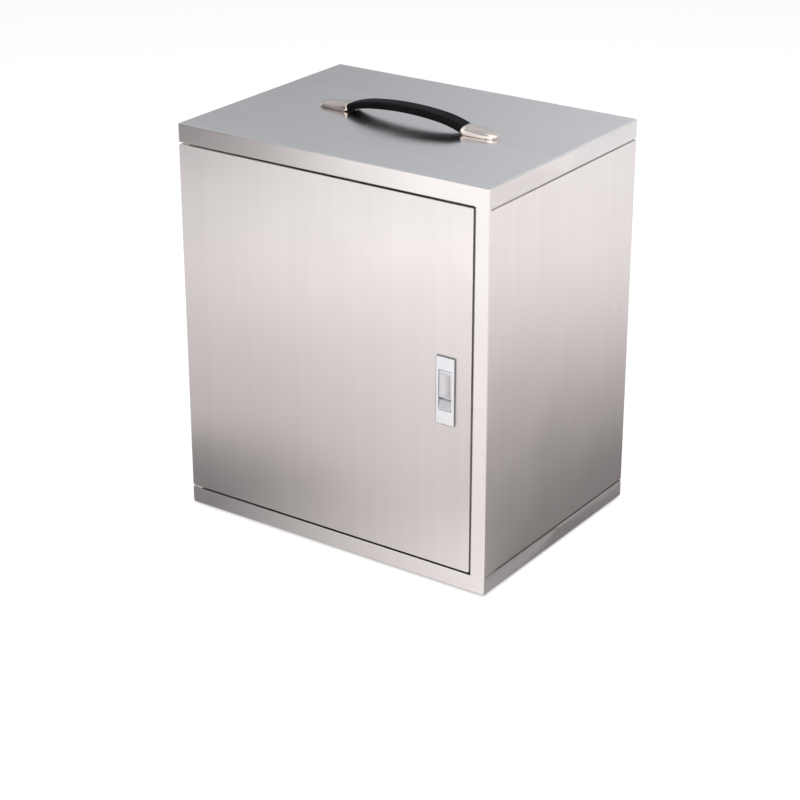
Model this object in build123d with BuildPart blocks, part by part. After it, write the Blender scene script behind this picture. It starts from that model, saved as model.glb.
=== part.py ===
from build123d import *
from math import asin, cos, degrees, radians, sin, sqrt
import os

os.makedirs("parts", exist_ok=True)

# A sheet steel food box with insulated walls, one front door and a carrying handle on its lid.
# Millimetres. X runs to the right, Y to the back, Z up. The origin is on the ground under the middle.

# Outside of the box
body_width = 445
body_depth = 330
lid_height = 509
foot_stand = 3
handle_rise = 21
cap_band = 23.5
base_band = 22
stile_width = 20

# Sheet metal
outer_sheet = 1.0
liner_sheet = 0.8
fold_radius = 2.0
edge_radius = 1.0
groove_height = 2.5
groove_depth = 2.5
lip_reach = 7
sheet_play = 0.3

# Walls, as the distance from the outside face to the hollow
side_wall = 36
back_wall = 36
floor_wall = 40
ceiling_wall = 46
ledge_setback = 1.5
liner_flange = 13
foam_play = 0.5
lid_space = 6.5
base_space = 5.5

# Door
door_pan_depth = 23.2
door_side_gap = 2.0
door_left_inset = 0.5
seal_gap = 3.0
door_flange = 18
plug_rise = 5
plug_inset = 5.5
gasket_width = 9
gasket_thick = 2.7
gasket_offset = 7.5
door_screw_head = 5
door_screw_head_height = 1.2
door_screw_head_round = 0.6
door_screw_play = 0.5

# Door pivots
pivot_inset = 8.5
pivot_setback = 9
pivot_pin = 6
pin_clearance = 0.05
bush_wall = 2
bush_flange = 14
bush_flange_thick = 1.0
collar_gap = 0.1
pivot_plate_thick = 3
pivot_block = 14
pivot_block_end = 2
pin_hold = 12

# Flush latch: front plate, paddle, release button, spring bolt
latch_inset = 34
plate_width = 25
plate_height = 84
plate_thick = 2.5
box_depth = 20
box_wall = 1.2
box_head = 6
box_foot = 7
paddle_width = 17
paddle_height = 34.5
paddle_drop = 16.5
paddle_thick = 3.2
paddle_pin = 2
paddle_pin_depth = 1.1
knuckle_radius = 2.9
side_play = 0.5
end_play = 0.5
dish_radius = 30
dish_depth = 0.8
dish_rim = 3
dish_edge_radius = 0.25
finger_thick = 3
finger_height = 3.5
finger_offset = 2.5
finger_lift = 2
finger_end_gap = 1.3
button_height = 11.8
button_gap = 3.6
button_sink = 0.4
button_proud = 1.3
button_depth = 7
button_travel = 2.5
catch_reach = 3
catch_thick = 2
catch_width = 10
bolt_thick = 4
bolt_height = 14
bolt_depth = 10.5
bolt_travel = 8
bolt_play = 0.5
bolt_bevel = 2.5
finger_swing_room = 4.9
spring_lug = 3
spring_lug_drop = 5.75
spring_gap = 0.3
button_spring_width = 7
button_spring_wire = 0.8
bolt_spring_width = 5
bolt_spring_wire = 0.7
bolt_spring_length = 9.9
spring_turns = 5
guide_wall = 1.2
clamp_sheet = 1.2
clamp_width = 12
clamp_foot = 9
clamp_gap = 3
clamp_screw = 3
clamp_screw_head = 4.5
clamp_screw_head_height = 1.2
clamp_screw_length = 6
boss_wall = 1.5
boss_height = 4.5
strike_thick = 2
strike_width = 16
strike_height = 34
strike_screw = 3
strike_screw_head = 5
strike_screw_pitch = 25

# Carrying handle
grip_width = 25
grip_thick = 8.5
grip_shoulder = 5.5
grip_corner = 2.5
grip_crown_radius = 400
grip_crown_reach = 50
grip_bend_radius = 139
grip_end_slope = 21
end_length = 49
end_shoulder = 0.45
end_foot = 0.2
end_tip = 3.0
end_droop = 0.5
end_nose = 6
end_sections = 6
strap_width = 12
strap_thick = 2.5
strap_play = 0.2
strap_flat = 15
handle_screw = 5
handle_screw_head = 9
handle_screw_head_height = 3
handle_plate_length = 44
handle_plate_width = 30
handle_plate_thick = 2

# Shelf rack
rack_levels = 3
upright_width = 15
upright_thick = 2
upright_end_gap = 12
upright_front = 46
upright_back = 46
runner_leg = 12
runner_sheet = 1.2
runner_end_gap = 9
rack_screw = 4
rack_screw_head = 7
rack_screw_head_height = 1.8
shelf_wire = 5
cross_wire = 3
weld_sink = 0.75
cross_wire_pitch = 25
shelf_play = 1.5
shelf_rest_gap = 0.1
shelf_corner = 10
shelf_end_gap = 12

# Feet
foot_diameter = 24
foot_inset = 32
foot_stem = 8
foot_barb = 11
foot_barb_height = 2.5

# Door screws stand at these shares of the plug's half width and of the door's height
screw_share_across = 0.67
screw_share_up = 0.25

# A cutter is this many times as long as the sheet that it goes through
cut_through = 4

# Planes and lines worked out from the sizes above
side_x = body_width / 2
front_y = -body_depth / 2
back_y = body_depth / 2
lid_z = lid_height
cap_z = lid_height - cap_band
sill_z = foot_stand + base_band
panel_top_z = cap_z - groove_height
panel_bottom_z = sill_z + groove_height
stile_x = side_x - stile_width
cavity_x = side_x - side_wall
cavity_back_y = back_y - back_wall
floor_z = foot_stand + floor_wall
ceiling_z = lid_z - ceiling_wall
door_back_y = front_y + door_pan_depth + liner_sheet
seal_y = door_back_y + seal_gap
liner_front_y = seal_y + outer_sheet
ledge_x = cavity_x + ledge_setback
door_left = -side_x + door_left_inset
door_right = stile_x - door_side_gap
door_height = panel_top_z - panel_bottom_z
door_mid_z = (panel_top_z + panel_bottom_z) / 2
pivot_x = -side_x + pivot_inset
pivot_y = front_y + pivot_setback
pan_back_y = front_y + door_pan_depth
skin_back_y = front_y + outer_sheet


def bent_strip(points, sheet, side, bend=fold_radius):
    """Outline of one sheet folded along a run of points, on a flat plane of its own."""
    with BuildSketch() as strip:
        with BuildLine():
            FilletPolyline(*points, radius=bend)
            offset(amount=sheet, side=side)
        make_face()
    return strip.sketch


def block(x0, x1, y0, y1, z0, z1, mode=Mode.ADD):
    """A plain block between two corners, in the part that is being built."""
    with Locations(((x0 + x1) / 2, (y0 + y1) / 2, (z0 + z1) / 2)):
        Box(x1 - x0, y1 - y0, z1 - z0, mode=mode)


def side_ring(inset, sheet, left_front_y):
    """Plan of a sheet round the left, back and right sides, set in from the outline."""
    inner = inset + sheet
    with BuildSketch() as ring:
        RectangleRounded(body_width - 2 * inset, body_depth - 2 * inset, fold_radius)
        RectangleRounded(body_width - 2 * inner, body_depth - 2 * inner, fold_radius, mode=Mode.SUBTRACT)
        with Locations((-inner, left_front_y - body_depth / 2)):
            Rectangle(body_width, body_depth, mode=Mode.SUBTRACT)
        with Locations((0, front_y)):
            Rectangle(body_width, 2 * fold_radius, mode=Mode.SUBTRACT)
    return ring.sketch


# Outer wrap: stile, right side, back, left side and seal flanges folded from one sheet
wrap_line = [
    (-ledge_x, seal_y),
    (-side_x, seal_y),
    (-side_x, back_y),
    (side_x, back_y),
    (side_x, front_y),
    (stile_x, front_y),
    (stile_x, seal_y),
    (ledge_x, seal_y),
]
latch_x = door_right - latch_inset
latch_z = door_mid_z
bolt_y = front_y + bolt_depth
slot_height = bolt_height + 2 * bolt_play
slot_thick = bolt_thick + 2 * bolt_play

with BuildPart() as outer_wrap:
    with BuildSketch(Plane.XY.offset(sill_z)):
        add(bent_strip(wrap_line, outer_sheet, Side.RIGHT))
    extrude(amount=cap_z - sill_z)
    for groove_z in (sill_z, panel_top_z):
        with BuildSketch(Plane.XY.offset(groove_z)):
            add(side_ring(0, groove_depth, seal_y - outer_sheet))
        extrude(amount=groove_height, mode=Mode.SUBTRACT)
    for shoulder_z in (panel_bottom_z, panel_top_z - outer_sheet):
        with BuildSketch(Plane.XY.offset(shoulder_z)):
            add(side_ring(0, groove_depth + outer_sheet, liner_front_y))
        extrude(amount=outer_sheet)
    for lip_z in (sill_z - lip_reach, panel_top_z - outer_sheet):
        with BuildSketch(Plane.XY.offset(lip_z)):
            add(side_ring(groove_depth, outer_sheet, liner_front_y))
        extrude(amount=lip_reach + groove_height + outer_sheet)
    for tuck_z in (sill_z - lip_reach, cap_z):
        block(-side_x, side_x, front_y, liner_front_y + sheet_play, tuck_z, tuck_z + lip_reach,
              mode=Mode.SUBTRACT)
    with Locations((stile_x, bolt_y, latch_z)):
        Box(cut_through * outer_sheet, slot_thick, slot_height, mode=Mode.SUBTRACT)
    for screw_z in (latch_z - strike_screw_pitch / 2, latch_z + strike_screw_pitch / 2):
        with Locations(Location((stile_x, bolt_y, screw_z), (0, 90, 0))):
            Cylinder(strike_screw / 2 + pin_clearance, cut_through * outer_sheet, mode=Mode.SUBTRACT)
outer_wrap.part.label = "outer_wrap"
export_step(outer_wrap.part, "parts/outer_wrap.step")


def opening_edge_cut(edge_z, into):
    """Rounds the front edge of the cap or base that faces the door, up to the stile."""
    with BuildSketch(Plane.YZ.offset(-side_x - 1)) as corner:
        with Locations((front_y, edge_z)):
            Rectangle(2 * edge_radius, 2 * edge_radius)
        with Locations((front_y + edge_radius, edge_z + into * edge_radius)):
            Circle(edge_radius, mode=Mode.SUBTRACT)
    extrude(corner.sketch, amount=side_x + 1 + stile_x, mode=Mode.SUBTRACT)


def tray(face_z, depth, into):
    """Folded tray with its flat face at face_z and its skirts running the other way."""
    with BuildPart() as pan:
        with BuildSketch(Plane.XY.offset(min(face_z, face_z + into * depth))):
            Rectangle(body_width, body_depth)
        extrude(amount=depth)
        fillet(pan.edges().filter_by(Axis.Z), fold_radius)
        fillet(pan.faces().sort_by(Axis.Z)[-1 if into < 0 else 0].edges(), fold_radius)
        inner_face_z = face_z + into * outer_sheet
        with BuildSketch(Plane.XY.offset(inner_face_z)):
            RectangleRounded(body_width - 2 * outer_sheet, body_depth - 2 * outer_sheet, edge_radius)
        extrude(amount=into * depth, mode=Mode.SUBTRACT)
    return pan.part


def front_flange(edge_z, into):
    """Shelf behind the front band that the door's edge faces, with the bush hole in it."""
    with BuildSketch(Plane.XY.offset(edge_z)) as shelf:
        RectangleRounded(body_width, body_depth, fold_radius)
        with Locations((0, liner_front_y + body_depth / 2)):
            Rectangle(body_width, body_depth, mode=Mode.SUBTRACT)
        with Locations((pivot_x, pivot_y)):
            Circle(pivot_pin / 2 + bush_wall + pin_clearance, mode=Mode.SUBTRACT)
    extrude(shelf.sketch, amount=into * outer_sheet)


# Carrying handle: the line of its grip, from the middle to the right
handle_apex = handle_rise - grip_thick / 2
crown_angle = degrees(asin(grip_crown_reach / grip_crown_radius))
lid_side = Plane(origin=(0, 0, lid_z), x_dir=(1, 0, 0), z_dir=(0, -1, 0))
with BuildLine(lid_side) as grip_line:
    crown = JernArc((0, handle_apex), (1, 0), grip_crown_radius, -crown_angle)
    JernArc(crown @ 1, crown % 1, grip_bend_radius, crown_angle - grip_end_slope)
joint_point = grip_line.line @ 1
joint_x = joint_point.X
joint_height = joint_point.Z - lid_z
slope = radians(grip_end_slope)
strap_bend_radius = (joint_height - strap_thick / 2) / (1 - cos(slope))
strap_flat_x = joint_x + strap_bend_radius * sin(slope)
handle_screw_x = strap_flat_x + strap_flat / 2

# Cap: the lid with its skirts, the shelf over the door and the upper seal ledge
foot_places = [(x, y) for x in (-side_x + foot_inset, side_x - foot_inset)
               for y in (front_y + foot_inset, back_y - foot_inset)]
cap_shell = tray(lid_z, cap_band, -1)
with BuildPart() as cap_tray:
    add(cap_shell)
    front_flange(cap_z, 1)
    opening_edge_cut(cap_z, 1)
    block(-ledge_x + sheet_play, ledge_x - sheet_play, seal_y, liner_front_y,
          ceiling_z + ledge_setback, cap_z + outer_sheet)
    with Locations((-handle_screw_x, 0, lid_z), (handle_screw_x, 0, lid_z)):
        Hole(handle_screw / 2 + pin_clearance, depth=2 * outer_sheet)
cap_tray.part.label = "cap_tray"
export_step(cap_tray.part, "parts/cap_tray.step")

# Base: floor tray with its skirts, the shelf under the door and the lower seal ledge
base_shell = tray(foot_stand, base_band, 1)
with BuildPart() as base_tray:
    add(base_shell)
    front_flange(sill_z, -1)
    opening_edge_cut(sill_z, -1)
    block(-ledge_x + sheet_play, ledge_x - sheet_play, seal_y, liner_front_y,
          sill_z - outer_sheet, floor_z - ledge_setback)
    with Locations(*[(x, y, foot_stand + outer_sheet) for x, y in foot_places]):
        Hole(foot_stem / 2 + pin_clearance, depth=2 * outer_sheet)
base_tray.part.label = "base_tray"
export_step(base_tray.part, "parts/base_tray.step")

# Liner: one wrapped wall round the hollow, with a ceiling and a floor of their own
liner_line = [
    (-cavity_x - liner_flange, liner_front_y),
    (-cavity_x, liner_front_y),
    (-cavity_x, cavity_back_y),
    (cavity_x, cavity_back_y),
    (cavity_x, liner_front_y),
    (cavity_x + liner_flange, liner_front_y),
]
level_pitch = (ceiling_z - floor_z) / (rack_levels + 1)
level_heights = [floor_z + level_pitch * (i + 1) for i in range(rack_levels)]
upright_places = [liner_front_y + upright_front, cavity_back_y - upright_back]
rack_screw_heights = [floor_z + level_pitch / 2, ceiling_z - level_pitch / 2]
rack_screw_places = [(sign * cavity_x, y, z) for sign in (-1, 1)
                     for y in upright_places for z in rack_screw_heights]

with BuildPart() as liner_wrap:
    with BuildSketch(Plane.XY.offset(floor_z - liner_sheet)):
        add(bent_strip(liner_line, liner_sheet, Side.LEFT))
    extrude(amount=ceiling_z - floor_z + 2 * liner_sheet)
    for place in rack_screw_places:
        with Locations(Location(place, (0, 90, 0))):
            Cylinder(rack_screw / 2 + pin_clearance, cut_through * liner_sheet, mode=Mode.SUBTRACT)
liner_wrap.part.label = "liner_wrap"
export_step(liner_wrap.part, "parts/liner_wrap.step")


def liner_panel(face_z, away):
    """Ceiling or floor sheet of the hollow, with a flange behind the seal ledge."""
    with BuildPart() as panel:
        with BuildSketch(Plane.XY.offset(face_z)) as plan:
            with Locations((0, (liner_front_y + cavity_back_y) / 2)):
                Rectangle(2 * cavity_x, cavity_back_y - liner_front_y)
            fillet(plan.vertices().group_by(Axis.Y)[-1], fold_radius + sheet_play)
        extrude(amount=away * liner_sheet)
        far_z = face_z + away * liner_flange
        block(-cavity_x + sheet_play, cavity_x - sheet_play, liner_front_y, liner_front_y + liner_sheet,
              min(face_z, far_z), max(face_z, far_z))
    return panel


liner_top = liner_panel(ceiling_z, 1)
liner_top.part.label = "liner_top"
export_step(liner_top.part, "parts/liner_top.step")

liner_bottom = liner_panel(floor_z, -1)
liner_bottom.part.label = "liner_bottom"
export_step(liner_bottom.part, "parts/liner_bottom.step")

# Insulation boards between the outer sheets and the liner
foam_out_x = side_x - groove_depth - outer_sheet - foam_play
foam_in_x = cavity_x + liner_sheet + foam_play
foam_front_y = liner_front_y + liner_sheet + foam_play
foam_back_y = back_y - groove_depth - outer_sheet - foam_play
foam_mid_y = cavity_back_y + liner_sheet + foam_play
foam_low_z = floor_z - liner_sheet
foam_high_z = ceiling_z + liner_sheet
boards = {
    "insulation_left": (-foam_out_x, -foam_in_x, foam_front_y, foam_mid_y - foam_play,
                        foam_low_z, foam_high_z),
    "insulation_right": (foam_in_x, foam_out_x, foam_front_y, foam_mid_y - foam_play,
                         foam_low_z, foam_high_z),
    "insulation_back": (-foam_out_x, foam_out_x, foam_mid_y, foam_back_y, foam_low_z, foam_high_z),
    "insulation_top": (-foam_out_x, foam_out_x, foam_front_y, foam_back_y,
                       foam_high_z + foam_play, lid_z - lid_space),
    "insulation_bottom": (-foam_out_x, foam_out_x, foam_front_y, foam_back_y,
                          foot_stand + base_space, foam_low_z - foam_play),
}
for board_name, corners in boards.items():
    with BuildPart() as board:
        block(*corners)
        fillet(board.edges().filter_by(Axis.Z), fold_radius)
    board.part.label = board_name
    export_step(board.part, f"parts/{board_name}.step")

# Feet: rubber discs whose stems snap into the base
with BuildPart() as foot_pads:
    with Locations(*[(x, y, 0) for x, y in foot_places]):
        Cylinder(foot_diameter / 2, foot_stand, align=(Align.CENTER, Align.CENTER, Align.MIN))
        Cylinder(foot_stem / 2, foot_stand + outer_sheet, align=(Align.CENTER, Align.CENTER, Align.MIN))
    with Locations(*[(x, y, foot_stand + outer_sheet) for x, y in foot_places]):
        Cone(foot_barb / 2, foot_stem / 2, foot_barb_height, align=(Align.CENTER, Align.CENTER, Align.MIN))
foot_pads.part.label = "foot_pads"
export_step(foot_pads.part, "parts/foot_pads.step")

# Door pivots: bushes in the cap and base, pins and blocks in the door
bush_outer = pivot_pin + 2 * bush_wall
bush_length = outer_sheet + pivot_plate_thick + bush_flange_thick
plate_half_x = pivot_inset - outer_sheet - sheet_play
plate_half_y = pivot_setback - outer_sheet - sheet_play
pivot_ends = [(cap_z, 1), (sill_z, -1)]

with BuildPart() as pivot_plates:
    for edge_z, out in pivot_ends:
        with BuildSketch(Plane.XY.offset(edge_z + out * outer_sheet)):
            with Locations((pivot_x, pivot_y)):
                Rectangle(2 * plate_half_x, 2 * plate_half_y)
                Circle(bush_outer / 2 + pin_clearance, mode=Mode.SUBTRACT)
        extrude(amount=out * pivot_plate_thick)
pivot_plates.part.label = "pivot_plates"
export_step(pivot_plates.part, "parts/pivot_plates.step")

with BuildPart() as pivot_bushes:
    for edge_z, out in pivot_ends:
        with BuildSketch(Plane.XY.offset(edge_z)):
            with Locations((pivot_x, pivot_y)):
                Circle(bush_flange / 2)
        extrude(amount=-out * bush_flange_thick)
        with BuildSketch(Plane.XY.offset(edge_z)):
            with Locations((pivot_x, pivot_y)):
                Circle(bush_outer / 2)
        extrude(amount=out * bush_length)
        with BuildSketch(Plane.XY.offset(edge_z - out * bush_flange_thick)):
            with Locations((pivot_x, pivot_y)):
                Circle(pivot_pin / 2 + pin_clearance)
        extrude(amount=out * (bush_length + bush_flange_thick), mode=Mode.SUBTRACT)
pivot_bushes.part.label = "pivot_bushes"
export_step(pivot_bushes.part, "parts/pivot_bushes.step")

with BuildPart() as pivot_pins:
    for edge_z, out in pivot_ends:
        door_edge_z = edge_z - out * groove_height
        collar = groove_height - bush_flange_thick - collar_gap
        with BuildSketch(Plane.XY.offset(door_edge_z)):
            with Locations((pivot_x, pivot_y)):
                Circle(bush_outer / 2)
        extrude(amount=out * collar)
        with BuildSketch(Plane.XY.offset(door_edge_z - out * (outer_sheet + pin_hold))):
            with Locations((pivot_x, pivot_y)):
                Circle(pivot_pin / 2)
        extrude(amount=out * (outer_sheet + pin_hold + groove_height + bush_length - bush_flange_thick))
pivot_pins.part.label = "pivot_pins"
export_step(pivot_pins.part, "parts/pivot_pins.step")

with BuildPart() as pivot_blocks:
    for edge_z, out in pivot_ends:
        with BuildSketch(Plane.XY.offset(edge_z - out * (groove_height + outer_sheet))):
            with Locations((pivot_x, pivot_y)):
                Rectangle(pivot_block, pivot_block)
                Circle(pivot_pin / 2 + pin_clearance, mode=Mode.SUBTRACT)
        extrude(amount=-out * (pin_hold + pivot_block_end))
pivot_blocks.part.label = "pivot_blocks"
export_step(pivot_blocks.part, "parts/pivot_blocks.step")

# Latch places
plate_top_z = latch_z + plate_height / 2
paddle_top_z = plate_top_z - paddle_drop
paddle_bottom_z = paddle_top_z - paddle_height
button_top_z = paddle_bottom_z - button_gap
button_bottom_z = button_top_z - button_height
window_top_z = paddle_top_z + end_play
window_bottom_z = button_bottom_z - end_play
window_width = paddle_width + 2 * side_play
box_width = window_width + 2 * box_wall
box_top_z = window_top_z + box_head
box_bottom_z = window_bottom_z - box_foot
box_back_y = front_y + box_depth
plate_face_y = front_y - plate_thick
hinge_y = front_y + paddle_pin_depth
hinge_z = paddle_top_z - knuckle_radius
paddle_face_y = hinge_y - knuckle_radius
paddle_back_y = paddle_face_y + paddle_thick
button_back_y = front_y + button_depth
bolt_low_z = latch_z - bolt_height / 2
bolt_high_z = latch_z + bolt_height / 2
finger_low_z = latch_z + finger_lift - finger_height / 2
guide_x0 = latch_x + box_width / 2
guide_x1 = door_right - outer_sheet - sheet_play
lug_x0 = guide_x0 + bolt_spring_length + 2 * spring_gap
spring_z = bolt_low_z - spring_lug_drop / 2 - spring_gap
boss_heights = [window_top_z + box_head / 2, window_bottom_z - box_foot / 2]

# Door skin: a folded pan, cut out for the latch, the bolt and the pivot pins
with BuildPart() as door_skin:
    block(door_left, door_right, front_y, pan_back_y, panel_bottom_z, panel_top_z)
    fillet(door_skin.edges().filter_by(Axis.Y), fold_radius)
    fillet(door_skin.faces().sort_by(Axis.Y)[0].edges(), edge_radius)
    block(door_left + outer_sheet, door_right - outer_sheet, skin_back_y, pan_back_y - outer_sheet,
          panel_bottom_z + outer_sheet, panel_top_z - outer_sheet, mode=Mode.SUBTRACT)
    block(door_left + door_flange, door_right - door_flange, pan_back_y - 2 * outer_sheet, pan_back_y,
          panel_bottom_z + door_flange, panel_top_z - door_flange, mode=Mode.SUBTRACT)
    block(latch_x - box_width / 2 - sheet_play, latch_x + box_width / 2 + sheet_play, front_y, skin_back_y,
          box_bottom_z - sheet_play, box_top_z + sheet_play, mode=Mode.SUBTRACT)
    with Locations((door_right, bolt_y, latch_z)):
        Box(cut_through * outer_sheet, slot_thick, slot_height, mode=Mode.SUBTRACT)
    with Locations((pivot_x, pivot_y, panel_top_z), (pivot_x, pivot_y, panel_bottom_z)):
        Cylinder(pivot_pin / 2 + sheet_play, cut_through * outer_sheet, mode=Mode.SUBTRACT)
door_skin.part.label = "door_skin"
export_step(door_skin.part, "parts/door_skin.step")

# Door liner: inner sheet with a raised plug that stands into the mouth of the hollow
plug_x = cavity_x - plug_inset
plug_low_z = floor_z + plug_inset
plug_high_z = ceiling_z - plug_inset
gasket_x = cavity_x + gasket_offset
gasket_low_z = floor_z - gasket_offset
gasket_high_z = ceiling_z + gasket_offset
screw_step = gasket_width / 2 + door_screw_play + door_screw_head / 2
screw_columns = [door_left + door_flange / 2, gasket_x - screw_step]
screw_rows = [gasket_low_z + screw_step, gasket_high_z - screw_step]
screw_across = screw_share_across * plug_x
screw_up = screw_share_up * door_height
door_screw_places = [(x, z) for z in screw_rows for x in (-screw_across, 0, screw_across)]
door_screw_places += [(x, z) for x in screw_columns for z in (door_mid_z - screw_up, door_mid_z + screw_up)]

with BuildPart() as door_liner:
    block(door_left + sheet_play, door_right - sheet_play, pan_back_y, door_back_y,
          panel_bottom_z + sheet_play, panel_top_z - sheet_play)
    block(-plug_x, plug_x, pan_back_y, door_back_y + plug_rise, plug_low_z, plug_high_z)
    fillet(door_liner.faces().sort_by(Axis.Y)[-1].edges(), fold_radius)
    block(-plug_x + liner_sheet, plug_x - liner_sheet, pan_back_y, door_back_y + plug_rise - liner_sheet,
          plug_low_z + liner_sheet, plug_high_z - liner_sheet, mode=Mode.SUBTRACT)
door_liner.part.label = "door_liner"
export_step(door_liner.part, "parts/door_liner.step")

# Door insulation, relieved round the pivot blocks and the latch
notch_x = pivot_x + pivot_block / 2 + foam_play
notch_depth = outer_sheet + pin_hold + pivot_block_end + foam_play
pocket_reach = clamp_gap + clamp_foot + clamp_sheet + foam_play
with BuildPart() as door_insulation:
    block(door_left + outer_sheet + foam_play, door_right - outer_sheet - foam_play,
          skin_back_y + foam_play, pan_back_y - outer_sheet - foam_play,
          panel_bottom_z + outer_sheet + foam_play, panel_top_z - outer_sheet - foam_play)
    block(door_left, notch_x, front_y, pan_back_y, panel_top_z - notch_depth, panel_top_z,
          mode=Mode.SUBTRACT)
    block(door_left, notch_x, front_y, pan_back_y, panel_bottom_z, panel_bottom_z + notch_depth,
          mode=Mode.SUBTRACT)
    block(latch_x - box_width / 2 - clamp_gap, door_right, front_y, pan_back_y,
          box_bottom_z - pocket_reach, box_top_z + pocket_reach, mode=Mode.SUBTRACT)
door_insulation.part.label = "door_insulation"
export_step(door_insulation.part, "parts/door_insulation.step")

# Gasket: a soft ring on the door's inner face, opposite the seal ledges
with BuildPart() as door_gasket:
    with BuildSketch(Plane.XZ.offset(-door_back_y)):
        with Locations((0, (gasket_low_z + gasket_high_z) / 2)):
            RectangleRounded(2 * gasket_x + gasket_width, gasket_high_z - gasket_low_z + gasket_width,
                             gasket_width)
            RectangleRounded(2 * gasket_x - gasket_width, gasket_high_z - gasket_low_z - gasket_width,
                             fold_radius, mode=Mode.SUBTRACT)
    extrude(amount=-gasket_thick)
    fillet(door_gasket.faces().sort_by(Axis.Y)[-1].edges(), edge_radius)
door_gasket.part.label = "door_gasket"
export_step(door_gasket.part, "parts/door_gasket.step")

with BuildPart() as door_screws:
    with BuildSketch(Plane.XZ.offset(-door_back_y)):
        with Locations(*door_screw_places):
            Circle(door_screw_head / 2)
    extrude(amount=-door_screw_head_height)
    fillet(door_screws.faces().sort_by(Axis.Y).group_by(Axis.Y)[-1].edges(), door_screw_head_round)
door_screws.part.label = "door_screws"
export_step(door_screws.part, "parts/door_screws.step")

# Latch frame: the plate on the door's face and the box behind it
with BuildPart() as latch_frame:
    block(latch_x - plate_width / 2, latch_x + plate_width / 2, plate_face_y, front_y,
          latch_z - plate_height / 2, plate_top_z)
    fillet(latch_frame.edges().filter_by(Axis.Y), edge_radius)
    fillet(latch_frame.faces().sort_by(Axis.Y)[0].edges(), edge_radius / 2)
    block(latch_x - box_width / 2, latch_x + box_width / 2, front_y, box_back_y, box_bottom_z, box_top_z)
    block(latch_x - window_width / 2, latch_x + window_width / 2, front_y, box_back_y - box_wall,
          box_bottom_z + box_wall, box_top_z - box_wall, mode=Mode.SUBTRACT)
    block(latch_x - window_width / 2, latch_x + window_width / 2, plate_face_y, front_y,
          window_bottom_z, window_top_z, mode=Mode.SUBTRACT)
    with Locations(Location((latch_x, hinge_y, hinge_z), (0, 90, 0))):
        Cylinder(paddle_pin / 2 + pin_clearance, box_width, mode=Mode.SUBTRACT)
    with Locations((latch_x + box_width / 2, bolt_y, latch_z)):
        Box(cut_through * box_wall, slot_thick, slot_height, mode=Mode.SUBTRACT)
    for boss_z in boss_heights:
        with BuildSketch(Plane.XZ.offset(-box_back_y)):
            with Locations((latch_x, boss_z)):
                Circle(clamp_screw / 2 + boss_wall)
        extrude(amount=boss_height + box_wall)
        with Locations(Location((latch_x, box_back_y, boss_z), (90, 0, 0))):
            Cylinder(clamp_screw / 2 + pin_clearance, 2 * (boss_height + box_wall), mode=Mode.SUBTRACT)
latch_frame.part.label = "latch_frame"
export_step(latch_frame.part, "parts/latch_frame.step")

# Paddle: a dished flap on its pin, with the finger that draws the bolt
with BuildPart() as latch_paddle:
    with BuildSketch(Plane.YZ.offset(latch_x)):
        with Locations(((paddle_face_y + paddle_back_y) / 2, (hinge_z + paddle_bottom_z) / 2)):
            Rectangle(paddle_thick, hinge_z - paddle_bottom_z)
        with Locations((hinge_y, hinge_z)):
            Circle(knuckle_radius)
    extrude(amount=paddle_width / 2, both=True)
    with BuildSketch(Plane.XY.offset(paddle_bottom_z + dish_rim)):
        with Locations((latch_x, paddle_face_y + dish_depth - dish_radius)):
            Circle(dish_radius)
    extrude(amount=hinge_z - paddle_bottom_z - 2 * dish_rim, mode=Mode.SUBTRACT)
    fillet(latch_paddle.edges().filter_by(Axis.Z).group_by(Axis.Y)[0], dish_edge_radius)
    block(latch_x + finger_offset - finger_thick / 2, latch_x + finger_offset + finger_thick / 2,
          paddle_back_y - edge_radius / 2, box_back_y - box_wall - finger_end_gap,
          finger_low_z, finger_low_z + finger_height)
    with Locations(Location((latch_x, hinge_y, hinge_z), (0, 90, 0))):
        Cylinder(paddle_pin / 2 + pin_clearance, 2 * paddle_width, mode=Mode.SUBTRACT)
latch_paddle.part.label = "latch_paddle"
export_step(latch_paddle.part, "parts/latch_paddle.step")

with BuildPart() as latch_pin:
    with Locations(Location((latch_x, hinge_y, hinge_z), (0, 90, 0))):
        Cylinder(paddle_pin / 2, box_width)
latch_pin.part.label = "latch_pin"
export_step(latch_pin.part, "parts/latch_pin.step")

# Release button: its face slants from a sunk top edge to a proud bottom edge
with BuildPart() as latch_button:
    with BuildSketch(Plane.YZ.offset(latch_x)):
        with BuildLine():
            Polyline(
                (front_y + button_sink, button_top_z),
                (plate_face_y - button_proud, button_bottom_z + edge_radius),
                (plate_face_y - button_proud + edge_radius, button_bottom_z),
                (button_back_y, button_bottom_z),
                (button_back_y, button_top_z),
                close=True,
            )
        make_face()
    extrude(amount=paddle_width / 2, both=True)
    catch_y = paddle_back_y + button_sink
    block(latch_x - catch_width / 2, latch_x + catch_width / 2, catch_y, catch_y + catch_thick,
          button_top_z - edge_radius, paddle_bottom_z + catch_reach)
latch_button.part.label = "latch_button"
export_step(latch_button.part, "parts/latch_button.step")

# Bolt: a flat bar with a window for the paddle's finger and a lug for its spring
window_x0 = latch_x + finger_offset - finger_thick / 2 - bolt_travel - sheet_play
window_x1 = latch_x + finger_offset + finger_thick / 2 + sheet_play
with BuildPart() as latch_bolt:
    block(latch_x - window_width / 2 + button_sink, door_right - sheet_play,
          bolt_y - bolt_thick / 2, bolt_y + bolt_thick / 2, bolt_low_z, bolt_high_z)
    nose = latch_bolt.faces().sort_by(Axis.X)[-1].edges().sort_by(Axis.Y)[-1]
    chamfer(nose, bolt_bevel)
    block(window_x0, window_x1, bolt_y - bolt_thick, bolt_y + bolt_thick,
          finger_low_z - finger_swing_room, finger_low_z + finger_height + end_play, mode=Mode.SUBTRACT)
    block(lug_x0, lug_x0 + spring_lug, bolt_y - bolt_thick / 2, bolt_y + bolt_thick / 2,
          bolt_low_z - spring_lug_drop, bolt_low_z)
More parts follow.
